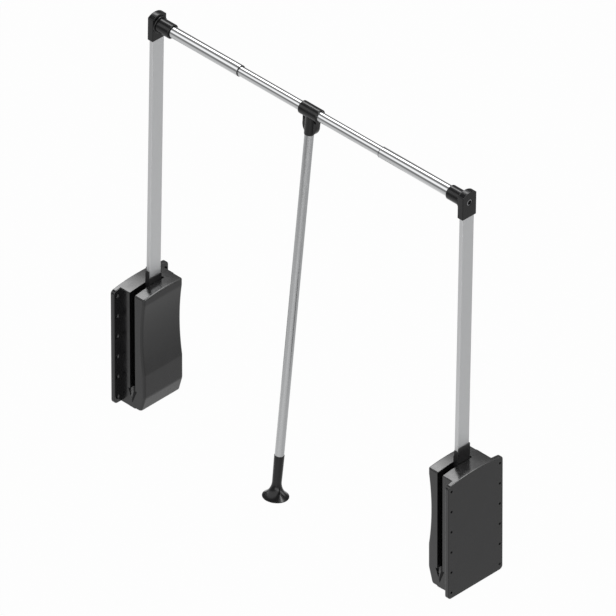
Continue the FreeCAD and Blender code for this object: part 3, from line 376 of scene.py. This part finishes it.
def makeFloor():
    # a pale floor, seen white, that keeps part of its shading; polished surfaces see it lit unevenly
    mesh = bpy.data.meshes.new("floor")
    shape = bmesh.new()
    bmesh.ops.create_circle(shape, cap_ends=True, segments=studio["floorSides"], radius=studio["floorRadius"],
                            matrix=Matrix.Translation((rodMiddle.x, 0, -studio["floorDrop"])))
    shape.to_mesh(mesh)
    shape.free()
    floor = linkedPiece("floor", mesh)
    material = bpy.data.materials.new("paleStudioFloor")
    material.use_nodes = True
    mesh.materials.append(material)
    tree = material.node_tree
    tree.nodes.clear()
    rays = addNode(tree, "ShaderNodeLightPath").outputs
    place = addNode(tree, "ShaderNodeTexCoord").outputs["Object"]

    near, far = studio["floorPool"][0][0], studio["floorPool"][-1][0]
    toRear = addNode(tree, "ShaderNodeVectorMath",
                     {"operation": "DOT_PRODUCT", 0: place, 1: studio["toRightRear"]}).outputs["Value"]
    along = mapped(tree, toRear, (near * mm, far * mm), (0.0, 1.0))
    levels = [((at - near) / (far - near), level) for at, level in studio["floorPool"]]
    colour = mixColour(tree, rays["Is Camera Ray"], greyRamp(tree, along, levels), white)
    glow = addNode(tree, "ShaderNodeEmission", {"Color": colour, "Strength": 1.0}).outputs[0]
    matt = addNode(tree, "ShaderNodeBsdfDiffuse", {"Color": linearColour(studio["floorColour"])}).outputs[0]

    seen = maths(tree, "MAXIMUM", rays["Is Camera Ray"], rays["Is Glossy Ray"])
    seen = maths(tree, "MAXIMUM", seen, rays["Is Transmission Ray"])
    share = maths(tree, "MULTIPLY", seen, studio["floorShine"])
    addNode(tree, "ShaderNodeOutputMaterial", {"Surface": mixShader(tree, share, matt, glow)})


makeWorld()
makeKeyLamp()
makeFloor()
bpy.context.scene.view_settings.view_transform = "Standard"
print("studio made")


# Finishes: sizes of grain, lines, crystals and relief are in mm

wholeReach = (0.0, 1.0)
noiseReach = (0.3, 0.7)                  # where nearly all of a noise lies
moulding = {"flow": 24, "flowReach": (0.35, 0.65), "shineChange": 0.05, "toneChange": 0.1}
plating = {"rub": 1.5, "shineChange": 0.08}
coating = {"peel": 2.0, "shineChange": 0.05, "relief": 0.02}
chroming = {"colour": "#cacbcc", "haze": 6, "stretch": (0.05, 1, 1), "roughness": 0.075,
            "shineChange": 0.025, "relief": 0.004}


def newFinish(name, metallic=0.0):
    material = bpy.data.materials.new(name)
    material.use_nodes = True
    tree = material.node_tree
    surface = tree.nodes["Principled BSDF"].inputs
    surface["Metallic"].default_value = metallic
    return material, tree, surface, addNode(tree, "ShaderNodeTexCoord").outputs["Object"]


def stretched(tree, place, scale):
    return addNode(tree, "ShaderNodeMapping", {"Scale": scale, "Vector": place}).outputs["Vector"]


def noise(tree, place, size, detail, roughness=0.5):
    return addNode(tree, "ShaderNodeTexNoise", {"Vector": place, "Scale": 1000 / size, "Detail": detail,
                                                "Roughness": roughness}).outputs["Fac"]


def varyShine(tree, surface, pattern, reach, roughness, change):
    shine = mapped(tree, pattern, reach, (roughness - change, roughness + change))
    tree.links.new(shine, surface["Roughness"])


def varyTone(tree, surface, pattern, reach, colour, change):
    tone = addNode(tree, "ShaderNodeHueSaturation", {
        "Color": linearColour(colour), "Value": mapped(tree, pattern, reach, (1 - change, 1 + change))})
    tree.links.new(tone.outputs["Color"], surface["Base Color"])


def emboss(tree, surface, pattern, relief):
    bump = addNode(tree, "ShaderNodeBump", {"Height": pattern, "Strength": 1.0, "Distance": relief * mm})
    tree.links.new(bump.outputs["Normal"], surface["Normal"])


def mouldedPlastic(name, colour, roughness, grain, relief, sheen=0.5):
    # injection-moulded: an even spark-eroded grain, and slight changes of shine from the melt's flow
    material, tree, surface, place = newFinish(name)
    surface["Specular IOR Level"].default_value = sheen
    flow = noise(tree, place, moulding["flow"], detail=3)
    varyShine(tree, surface, flow, moulding["flowReach"], roughness, moulding["shineChange"])
    varyTone(tree, surface, flow, noiseReach, colour, moulding["toneChange"])
    emboss(tree, surface, noise(tree, place, grain, detail=2, roughness=0.6), relief)
    return material


def drawnMetal(name, colour, roughness, lineWidth, relief, along="Z", length=120, shineChange=0.05,
               toneChange=0.05):
    # drawn or extruded metal: fine lines run the way it left the die
    material, tree, surface, place = newFinish(name, 1.0)
    scale = [lineWidth / length if axis == along else 1 for axis in "XYZ"]
    lines = noise(tree, stretched(tree, place, scale), lineWidth, detail=3, roughness=0.65)
    varyShine(tree, surface, lines, noiseReach, roughness, shineChange)
    varyTone(tree, surface, lines, noiseReach, colour, toneChange)
    emboss(tree, surface, lines, relief)
    return material


def platedSteel(name, colour, roughness, crystal, relief, toneChange=0.08):
    # zinc, nickel or black oxide over steel: a faint mottle of crystals or barrel rubbing
    material, tree, surface, place = newFinish(name, 1.0)
    cells = addNode(tree, "ShaderNodeTexVoronoi",
                    {"Vector": place, "Scale": 1000 / crystal, "Randomness": 1.0})
    mottle = addNode(tree, "ShaderNodeRGBToBW", {"Color": cells.outputs["Color"]}).outputs["Val"]
    varyShine(tree, surface, mottle, wholeReach, roughness, plating["shineChange"])
    varyTone(tree, surface, mottle, wholeReach, colour, toneChange)
    emboss(tree, surface, noise(tree, place, plating["rub"], detail=4), relief)
    return material


def coatedSteel(name, colour, roughness):
    # powder coat or stoved paint over steel: the soft ripple of orange peel
    material, tree, surface, place = newFinish(name)
    surface["Base Color"].default_value = linearColour(colour)
    peel = noise(tree, place, coating["peel"], detail=2)
    varyShine(tree, surface, peel, noiseReach, roughness, coating["shineChange"])
    emboss(tree, surface, peel, coating["relief"])
    return material


def chromePlate(name):
    # bright chrome over drawn steel tube: a mirror, with the faintest waves and polishing haze
    material, tree, surface, place = newFinish(name, 1.0)
    surface["Base Color"].default_value = linearColour(chroming["colour"])
    haze = noise(tree, stretched(tree, place, chroming["stretch"]), chroming["haze"], detail=4)
    varyShine(tree, surface, haze, noiseReach, chroming["roughness"], chroming["shineChange"])
    emboss(tree, surface, haze, chroming["relief"])
    return material


def paintSocketShade(material, centre, radius, colour="#0c0c0d", blur=0.2):
    # painted shade: a near-black disc round a screw's line stands in for the shade of its deep socket; centre
    # is a point on its line, which runs along X
    tree = material.node_tree
    base = tree.nodes["Principled BSDF"].inputs["Base Color"]
    place = addNode(tree, "ShaderNodeTexCoord").outputs["Object"]
    away = addNode(tree, "ShaderNodeVectorMath", {"operation": "SUBTRACT", 0: place, 1: tuple(centre)})
    across = addNode(tree, "ShaderNodeVectorMath",
                     {"operation": "MULTIPLY", 0: away.outputs[0], 1: (0, 1, 1)})
    reach = addNode(tree, "ShaderNodeVectorMath", {"operation": "LENGTH", 0: across.outputs[0]})
    outside = mapped(tree, reach.outputs["Value"], ((radius - blur) * mm, (radius + blur) * mm), wholeReach)
    tree.links.new(mixColour(tree, outside, linearColour(colour), base.links[0].from_socket), base)
    return material


finishes = {
    "housing_plastic": mouldedPlastic("glossBlackAbsHousing", "#171718", 0.20, 1.4, 0.006),
    "cover_plastic": mouldedPlastic("glossBlackAbsCover", "#181819", 0.20, 1.4, 0.006),
    "shoe_plastic": mouldedPlastic("blackNylonShoe", "#161617", 0.32, 1.0, 0.01),
    "head_plastic": mouldedPlastic("glossBlackNylonHead", "#121213", 0.20, 1.2, 0.006, sheen=0.33),
    "clamp_plastic": mouldedPlastic("glossBlackAbsClamp", "#121213", 0.19, 1.2, 0.006, sheen=0.35),
    "knob_plastic": mouldedPlastic("glossBlackAbsKnob", "#121213", 0.19, 1.2, 0.006, sheen=0.35),
    "ring_plastic": mouldedPlastic("blackAcetalRing", "#121213", 0.30, 0.8, 0.006),
    "bush_nylon": mouldedPlastic("naturalNylonBush", "#d9d5c8", 0.42, 0.8, 0.01),
    "liner_nylon": mouldedPlastic("blackAcetalLiner", "#141415", 0.34, 0.8, 0.008),
    "buffer_rubber": mouldedPlastic("blackRubberBuffer", "#161616", 0.75, 0.9, 0.04),
    "arm_aluminium": drawnMetal("satinAnodisedAluminiumArm", "#cfd0d1", 0.40, 1.6, 0.0004,
                                shineChange=0.02, toneChange=0.012),
    "handle_aluminium": drawnMetal("brushedAluminiumHandle", "#b9babb", 0.28, 1.6, 0.0008),
    "rod_chrome": chromePlate("brightChromeTube"),
    "side_plate_steel": coatedSteel("blackCoatedSidePlate", "#161617", 0.30),
    "frame_steel": platedSteel("zincPlatedFrameSteel", "#b2b6b9", 0.34, 4.0, 0.01),
    "screw_steel": platedSteel("zincPlatedScrew", "#bcc0c4", 0.26, 1.2, 0.004),
    "black_screw": platedSteel("blackenedScrew", "#1a1a1c", 0.26, 1.0, 0.004, toneChange=0.2),
    # the holder screw gets painted shade: a near-black disc round its line, as the shade of its socket
    "head_screw": paintSocketShade(platedSteel("nickelPlatedHolderScrew", "#9a9b9c", 0.22, 1.2, 0.004),
                               rodMiddle, 4.6),
    "rivet_steel": platedSteel("nickelPlatedRivet", "#c3c2be", 0.24, 1.0, 0.004),
    "shaft_steel": drawnMetal("groundSteelShaft", "#bfc1c4", 0.20, 0.6, 0.002, along="X", length=20),
    "gear_steel": platedSteel("oiledSinteredGear", "#8f9194", 0.36, 1.0, 0.02),
    "damper_steel": coatedSteel("darkPaintedDamper", "#3a3b3d", 0.30),
    "spring_steel": drawnMetal("oiledSpringWire", "#84878b", 0.30, 0.5, 0.004, along="X", length=6),
}
print("finishes made:", len(finishes))


# Node trees for what repeats or follows a rule

tubing = {"lipSteps": 3, "sharpAngle": 55}
fastening = {"headSides": 48, "headRings": 8, "shankSides": 32, "sharpAngle": 35,
             "crownPower": 5.0,          # how late the head's rim draws in
             "shankStart": 0.98}         # share of the head's height where the shank starts


def newTree(name, inputs):
    tree = bpy.data.node_groups.new(name, "GeometryNodeTree")
    for label, kind, value in inputs:
        socket = tree.interface.new_socket(name=label, in_out="INPUT", socket_type=kind)
        if value is not None:
            socket.default_value = value
    tree.interface.new_socket(name="Geometry", in_out="OUTPUT", socket_type="NodeSocketGeometry")
    return tree, tree.nodes.new("NodeGroupInput").outputs, tree.nodes.new("NodeGroupOutput").inputs


def raised(tree, geometry, height):
    lift = addNode(tree, "ShaderNodeCombineXYZ", {"Z": height}).outputs["Vector"]
    return addNode(tree, "GeometryNodeTransform", {"Geometry": geometry, "Translation": lift}).outputs[0]


def endTree(tree, geometry, finish, result):
    real = addNode(tree, "GeometryNodeRealizeInstances", {"Geometry": geometry})
    dressed = addNode(tree, "GeometryNodeSetMaterial", {"Geometry": real.outputs["Geometry"],
                                                        "Material": finish})
    tree.links.new(dressed.outputs["Geometry"], result["Geometry"])
    return tree


def makeTubeTree():
    # a round tube on +Z from zero, with its wall and the soft lips of a deburred saw cut
    tree, given, result = newTree("roundTube", [
        ("Diameter", "NodeSocketFloat", 0.02), ("Wall", "NodeSocketFloat", 0.001),
        ("Length", "NodeSocketFloat", 0.1), ("Lip", "NodeSocketFloat", 0.0003),
        ("Sides", "NodeSocketInt", 96), ("Finish", "NodeSocketMaterial", None)])
    radius = maths(tree, "MULTIPLY", maths(tree, "SUBTRACT", given["Diameter"], given["Wall"]), 0.5)
    path = addNode(tree, "GeometryNodeCurvePrimitiveCircle", {"Resolution": given["Sides"], "Radius": radius})
    section = addNode(tree, "GeometryNodeCurvePrimitiveQuadrilateral",
                      {"Width": given["Wall"], "Height": given["Length"]})
    soft = addNode(tree, "GeometryNodeFilletCurve",
                   {"mode": "POLY", "Count": tubing["lipSteps"], "Limit Radius": True,
                    "Curve": section.outputs["Curve"], "Radius": given["Lip"]})
    skin = addNode(tree, "GeometryNodeCurveToMesh",
                   {"Curve": path.outputs["Curve"], "Profile Curve": soft.outputs["Curve"]})
    moved = raised(tree, skin.outputs["Mesh"], maths(tree, "MULTIPLY", given["Length"], 0.5))
    return endTree(tree, moved, given["Finish"], result)


def makeFastenerTree():
    # a screw or rivet on every point: head down from zero on +Z, crowned rim, shank below, socket in the top
    tree, given, result = newTree("fasteners", [
        ("Points", "NodeSocketGeometry", None),
        ("Head", "NodeSocketFloat", 0.008), ("Head Height", "NodeSocketFloat", 0.002),
        ("Crown", "NodeSocketFloat", 0.25), ("Shank", "NodeSocketFloat", 0.004),
        ("Shank Length", "NodeSocketFloat", 0.02), ("Socket", "NodeSocketFloat", 0.003),
        ("Socket Depth", "NodeSocketFloat", 0.001), ("Socket Sides", "NodeSocketInt", 6),
        ("Finish", "NodeSocketMaterial", None)])

    def bar(diameter, height, drop, sides, rings=1):
        # a round bar that stands on +Z with its upper end below zero by drop
        solid = addNode(tree, "GeometryNodeMeshCylinder",
                        {"fill_type": "NGON", "Side Segments": rings, "Vertices": sides,
                         "Radius": maths(tree, "MULTIPLY", diameter, 0.5), "Depth": height})
        middle = maths(tree, "SUBTRACT", maths(tree, "MULTIPLY", height, -0.5), drop)
        return raised(tree, solid.outputs["Mesh"], middle)

    plainHead = bar(given["Head"], given["Head Height"], 0.0, fastening["headSides"],
                    fastening["headRings"])
    position = addNode(tree, "GeometryNodeInputPosition").outputs[0]
    parts = addNode(tree, "ShaderNodeSeparateXYZ", {0: position}).outputs
    rise = maths(tree, "ADD", maths(tree, "DIVIDE", parts["Z"], given["Head Height"]), 1.0)
    bend = maths(tree, "POWER", maths(tree, "MAXIMUM", rise, 0.0), fastening["crownPower"])
    draw = maths(tree, "SUBTRACT", 1.0, maths(tree, "MULTIPLY", bend, given["Crown"]))
    crowned = addNode(tree, "ShaderNodeCombineXYZ", {"X": maths(tree, "MULTIPLY", parts["X"], draw),
                                                     "Y": maths(tree, "MULTIPLY", parts["Y"], draw),
                                                     "Z": parts["Z"]})
    head = addNode(tree, "GeometryNodeSetPosition",
                   {"Geometry": plainHead, "Position": crowned.outputs[0]}).outputs["Geometry"]
    shankTop = maths(tree, "MULTIPLY", given["Head Height"], fastening["shankStart"])
    shank = bar(given["Shank"], given["Shank Length"], shankTop, fastening["shankSides"])
    body = addNode(tree, "GeometryNodeMeshBoolean",
                   {"operation": "UNION", "solver": "EXACT", "Mesh 2": head})
    tree.links.new(shank, body.inputs["Mesh 2"])
    # the cutter stands out of the head as far as it goes in
    cutter = bar(given["Socket"], maths(tree, "MULTIPLY", given["Socket Depth"], 2.0),
                 maths(tree, "MULTIPLY", given["Socket Depth"], -1.0), given["Socket Sides"])
    screw = addNode(tree, "GeometryNodeMeshBoolean",
                    {"operation": "DIFFERENCE", "solver": "EXACT", "Mesh 1": body.outputs["Mesh"],
                     "Mesh 2": cutter})
    placed = addNode(tree, "GeometryNodeMeshToPoints", {"Mesh": given["Points"]})
    many = addNode(tree, "GeometryNodeInstanceOnPoints", {"Points": placed.outputs["Points"],
                                                          "Instance": screw.outputs["Mesh"]})
    return endTree(tree, many.outputs["Instances"], given["Finish"], result)


tubeTree = makeTubeTree()
fastenerTree = makeFastenerTree()
print("node trees made")


def treePiece(name, tree, values, place, sharpAngle, points=()):
    # runs a node tree with its named inputs and keeps the result as one plain mesh
    seed = bpy.data.meshes.new(name + "Points")
    seed.from_pydata(list(points), [], [])
    holder = linkedPiece(name + "Tree", seed)
    modifier = holder.modifiers.new("shape", "NODES")
    modifier.node_group = tree
    for item in tree.interface.items_tree:
        if item.in_out == "INPUT" and item.name in values:
            modifier[item.identifier] = values[item.name]
    graph = bpy.context.evaluated_depsgraph_get()
    mesh = bpy.data.meshes.new_from_object(holder.evaluated_get(graph))
    holder.modifiers.remove(modifier)
    bpy.data.objects.remove(holder)
    mesh.name = name
    mesh.transform(place)
    shadeSmooth(mesh, sharpAngle)
    return linkedPiece(name, mesh)


def roundTube(name, diameter, wall, length, lip, finish, place):
    values = {"Diameter": diameter * mm, "Wall": wall * mm, "Length": length * mm, "Lip": lip * mm,
              "Finish": finishes[finish]}
    return treePiece(name, tubeTree, values, place, tubing["sharpAngle"])


def fasteners(name, points, place, sizes, finish):
    # points in the object's own frame; place carries +Z to the way the heads face
    inside = place.inverted()
    spots = [inside @ Vector(point) for point in points]
    values = {label: value * mm if label not in ("Crown", "Socket Sides") else value
              for label, value in sizes.items()}
    values["Finish"] = finishes[finish]
    return treePiece(name, fastenerTree, values, place, fastening["sharpAngle"], spots)


# Lift units: housing, spacer, cover and the arm's stop buffer

housing = {"edge": 1.5, "spacerEdge": 0.6, "coverEdge": 4.2, "bufferEdge": 1.0,
           "slotShare": 0.15, "slotHalf": 8.0, "scoopHalf": 13.0, "scoopTop": 42.0, "scoopFoot": 9.0}


def softerOutside(side, slotShare):
    # full rounding on the outside, nearly none beside the arm's slot and none round the scoop at its foot
    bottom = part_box(side + "_base")[0][2]

    def share(middle):
        across = abs(middle.x - armPlane[side]) / mm
        up = (middle.z - bottom) / mm
        if across < housing["scoopHalf"] and housing["scoopFoot"] < up < housing["scoopTop"]:
            return 0.0
        return slotShare if across < housing["slotHalf"] else 1.0

    return share


for side in sides:
    unit = side + "_housing"
    easedSolid(side + "_base", side + "HousingBase", housing["edge"], "housing_plastic", unit,
               softerOutside(side, 2 * housing["slotShare"]))
    easedSolid(side + "_slot_spacer", side + "SlotSpacer", housing["spacerEdge"], "housing_plastic", unit,
               softerOutside(side, 1.0))
    easedSolid(side + "_cover", side + "HousingCover", housing["coverEdge"], "cover_plastic", unit,
               softerOutside(side, housing["slotShare"]))
    easedSolid(side + "_stop_buffer", side + "StopBuffer", housing["bufferEdge"], "buffer_rubber", unit)
print("lift units made")


# Long screws that hold each unit's frame together, under the cover

frameScrew = {"Head": 7.5, "Head Height": 2.4, "Crown": 0.22, "Shank": 4.0, "Shank Length": 32.4,
              "Socket": 4.2, "Socket Depth": 1.3, "Socket Sides": 6}
# y of the screws' columns and z of their rows; the uppermost sits at the top of the frame
screwLine = {"front": -44.0, "rear": 41.3, "foot": -117.0, "middle": 0.0}

for side in sides:
    low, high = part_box(side + "_frame_screws")
    top = high[2] / mm - frameScrew["Head"] / 2
    heads = [(screwLine["front"], screwLine["foot"]), (screwLine["rear"], screwLine["foot"]),
             (screwLine["rear"], screwLine["middle"]), (screwLine["rear"], top)]
    face = high[0] if side == "left" else low[0]
    facing = Matrix.Rotation(math.radians(90 * inward[side]), 4, "Y")
    screws = fasteners(side + "FrameScrews", [(face, y * mm, z * mm) for y, z in heads], facing,
                       frameScrew, "screw_steel")
    finished(screws, "screw_steel", side + "_housing", side + "_frame_screws")
print("frame screws made")


# Swinging arms: shoe, flat tube, rivets, rod holder and its screw

# pivot is its y and z, and the rivets are that far up from it
arm = {"shoeEdge": 0.7, "tubeEdge": 0.5, "headEdge": 1.3, "lean": 1.3, "pivot": (-2.0, -54.0),
       "rivetsAt": (55.0, 150.0), "shoeThickness": 11.8, "headThickness": 13.5, "headSinkFloor": 0.3}
rivet = {"Head": 5.0, "Head Height": 1.4, "Crown": 0.35, "Shank": 4.9, "Shank Length": 9.0,
         "Socket": 1.6, "Socket Depth": 0.5, "Socket Sides": 24}
rivetTail = {"Head": 5.0, "Head Height": 1.6, "Crown": 0.35, "Shank": 4.9, "Shank Length": 0.4,
             "Socket": 1.6, "Socket Depth": 0.5, "Socket Sides": 24}
headScrew = {"Head": 13.0, "Head Height": 1.2, "Crown": 0.3, "Shank": 5.0, "Shank Length": 18.2,
             "Socket": 6.9, "Socket Depth": 0.9, "Socket Sides": 6}


def onArm(side, across, up):
    # a point on an arm: across from its middle plane, and up from the pivot along the lean
    lean = math.radians(arm["lean"])
    y = arm["pivot"][0] + up * math.sin(lean)
    z = arm["pivot"][1] + up * math.cos(lean)
    return (armPlane[side] + across * mm * inward[side], y * mm, z * mm)


for side in sides:
    swing = side + "_arm"
    easedSolid(side + "_arm_shoe", side + "ArmShoe", arm["shoeEdge"], "shoe_plastic", swing)
    easedSolid(side + "_arm_tube", side + "ArmTube", arm["tubeEdge"], "arm_aluminium", swing)
    easedSolid(side + "_arm_head", side + "RodHolder", arm["headEdge"], "head_plastic", swing)

    facing = Matrix.Rotation(math.radians(90 * inward[side]), 4, "Y")
    backing = Matrix.Rotation(math.radians(-90 * inward[side]), 4, "Y")
    skin = arm["shoeThickness"] / 2
    heads = fasteners(side + "ArmRivets", [onArm(side, skin, up) for up in arm["rivetsAt"]], facing,
                      rivet, "rivet_steel")
    tails = fasteners(side + "ArmRivetTails", [onArm(side, -skin, up) for up in arm["rivetsAt"]], backing,
                      rivetTail, "rivet_steel")
    finished(heads, "rivet_steel", swing, side + "_arm_rivets")
    finished(tails, "rivet_steel", swing)
    sink = onArm(side, arm["headSinkFloor"] - arm["headThickness"] / 2, 0)[0]
    bolt = fasteners(side + "HolderScrew", [(sink, rodMiddle.y, rodMiddle.z)], backing, headScrew,
                     "head_screw")
    finished(bolt, "head_screw", swing, side + "_head_screw", slot="screw_steel")
print("arms made")


# Telescopic rod: two outer tubes, their guide rings and the inner tube

rod = {"outer": 22.0, "outerWall": 0.9, "inner": 19.0, "innerWall": 1.2, "lip": 0.3,
       "ringFlange": 1.2, "ringDepth": 12.0, "ringBore": 19.12, "ringSleeve": 20.16, "ringEdge": 0.25}


def rodTube(node, name, diameter, wall, body):
    low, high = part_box(node)
    tube = roundTube(name, diameter, wall, (high[0] - low[0]) / mm, rod["lip"], "rod_chrome",
                     alongRod(low[0]))
    finished(tube, "rod_chrome", body, node)


def ringOutline():
    # zero at the tube's end, minus into the tube
    bore, tube, sleeve = rod["ringBore"] / 2, rod["outer"] / 2, rod["ringSleeve"] / 2
    return rounded([(-rod["ringDepth"], bore), (rod["ringFlange"], bore), (rod["ringFlange"], tube),
                    (0.0, tube), (0.0, sleeve), (-rod["ringDepth"], sleeve)], rod["ringEdge"])


for side in sides:
    rodTube(side + "_outer_tube", side + "OuterTube", rod["outer"], rod["outerWall"], side + "_arm")
    low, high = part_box(side + "_guide_ring")
    if side == "left":
        place = alongRod(high[0] - rod["ringFlange"] * mm)
    else:
        place = alongRod(low[0] + rod["ringFlange"] * mm) @ Matrix.Rotation(math.pi, 4, "X")
    ring = lathe(side + "GuideRing", ringOutline(), place)
    finished(ring, "ring_plastic", side + "_arm", side + "_guide_ring")

rodTube("inner_tube", "innerTube", rod["inner"], rod["innerWall"], "inner_rod")
print("rod made")


# Pull handle: two clamp halves and their screws, liner, tube and knob

# heights run down from the rod's line, along the handle
handle = {"lean": 6.6, "length": 813.0, "tube": 17.5, "tubeWall": 1.2, "tubeLip": 0.3,
          "knobTop": -725.0, "clampDrop": 46.0, "socketDepth": 26.0}
clamp = {"edge": 0.9, "boreReach": 11.5, "partingReach": 0.3, "innerShare": 0.2,
         "screwDrop": 16.5, "screwSpacing": 28.0, "screwFace": 2.7}
clampScrew = {"Head": 5.4, "Head Height": 1.4, "Crown": 0.2, "Shank": 3.0, "Shank Length": 6.4,
              "Socket": 2.6, "Socket Depth": 0.9, "Socket Sides": 6}
liner = {"length": 44.5, "outer": 10.7, "bore": 9.56, "mouth": 0.4, "chamfer": 0.8, "edge": 0.2,
         "mouthEdge": 0.1}
knob = {"neck": 8.9, "collar": 9.5, "disc": 25.0, "rim": 1.6, "flare": 30.0, "collarHeight": 12.0,
        "well": 8.77, "socket": 24.0, "sweepSteps": 24,
        "rimEdge": 0.6, "softEdge": 0.5, "edge": 0.2, "wellEdge": 0.1, "sweepEdge": 0.05}
onHandle = Matrix.Translation(rodMiddle) @ Matrix.Rotation(math.radians(-handle["lean"]), 4, "X")


def clampShare(middle):
    # full rounding on the outline, little at the bore and along the parting line
    spot = onHandle.inverted() @ middle / mm
    atBore = math.hypot(spot.y, spot.z) < clamp["boreReach"]
    return clamp["innerShare"] if atBore or abs(spot.y) < clamp["partingReach"] else 1.0


def linerOutline():
    # the chamfered mouths let it ride over the tube
    end = liner["length"] / 2
    throat = end - liner["chamfer"]
    mouth = liner["bore"] + liner["mouth"]
    return rounded([(-end, mouth, liner["mouthEdge"]), (-end, liner["outer"]), (end, liner["outer"]),
                    (end, mouth, liner["mouthEdge"]), (throat, liner["bore"]), (-throat, liner["bore"])],
                   liner["edge"])


def knobOutline():
    bottom, top = -handle["length"], handle["knobTop"]
    rimTop = bottom + knob["rim"]
    reach = knob["disc"] - knob["neck"]
    sweep = (reach ** 2 + knob["flare"] ** 2) / (2 * reach)
    points = [(bottom, 0.0), (bottom, knob["disc"], knob["rimEdge"])]
    for step in range(knob["sweepSteps"] + 1):
        # the hollow sweep from the rim in to the neck
        fall = knob["flare"] * (1 - step / knob["sweepSteps"])
        inset = sweep - math.sqrt(sweep ** 2 - fall ** 2)
        edge = knob["softEdge"] if step == 0 else knob["sweepEdge"]
        points.append((rimTop + knob["flare"] - fall, knob["neck"] + inset, edge))
    points += [(top - knob["collarHeight"], knob["collar"]), (top, knob["collar"], knob["softEdge"]),
               (top, knob["well"], knob["wellEdge"]), (top - knob["socket"], knob["well"]),
               (top - knob["socket"], 0.0)]
    return rounded(points, knob["edge"])


for part in ("front", "rear"):
    easedSolid("handle_clamp_" + part, "handleClamp" + part.capitalize(), clamp["edge"], "clamp_plastic",
               "handle", clampShare)

clampLiner = lathe("clampLiner", linerOutline(), alongRod(rodMiddle.x))
finished(clampLiner, "liner_nylon", "liner", "clamp_liner")

forward = onHandle @ Matrix.Rotation(math.radians(90), 4, "X")
spots = [onHandle @ (Vector((x, -clamp["screwFace"], -clamp["screwDrop"])) * mm)
         for x in (-clamp["screwSpacing"] / 2, clamp["screwSpacing"] / 2)]
clampScrews = fasteners("clampScrews", spots, forward, clampScrew, "black_screw")
finished(clampScrews, "black_screw", "handle", "clamp_screws", slot="screw_steel")

foot = handle["knobTop"] - knob["socket"]
head = handle["socketDepth"] - handle["clampDrop"]
handleTube = roundTube("handleTube", handle["tube"], handle["tubeWall"], head - foot, handle["tubeLip"],
                       "handle_aluminium", onHandle @ Matrix.Translation((0, 0, foot * mm)))
finished(handleTube, "handle_aluminium", "handle", "handle_tube")

gripKnob = lathe("handleKnob", knobOutline(), onHandle, steps=128)
finished(gripKnob, "knob_plastic", "handle", "handle_knob")
print("handle made")


# Inner pieces keep their CAD shape and get their finish

innerFinish = {
    "wall_side_plate": "side_plate_steel", "cover_side_plate": "side_plate_steel",
    "shaft_bushes": "bush_nylon", "pivot_shaft": "shaft_steel", "shaft_clip": "spring_steel",
    "pinion": "gear_steel", "rack": "gear_steel", "spring_seat": "frame_steel", "springs": "spring_steel",
    "damper_cylinder": "damper_steel", "damper_rod": "shaft_steel",
}
dressed = {side + "_" + piece: finish for side in sides for piece, finish in innerFinish.items()}
for node, finish in dressed.items():
    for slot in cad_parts[node].material_slots:
        slot.material = finishes[finish]
print("inner pieces finished:", len(dressed))
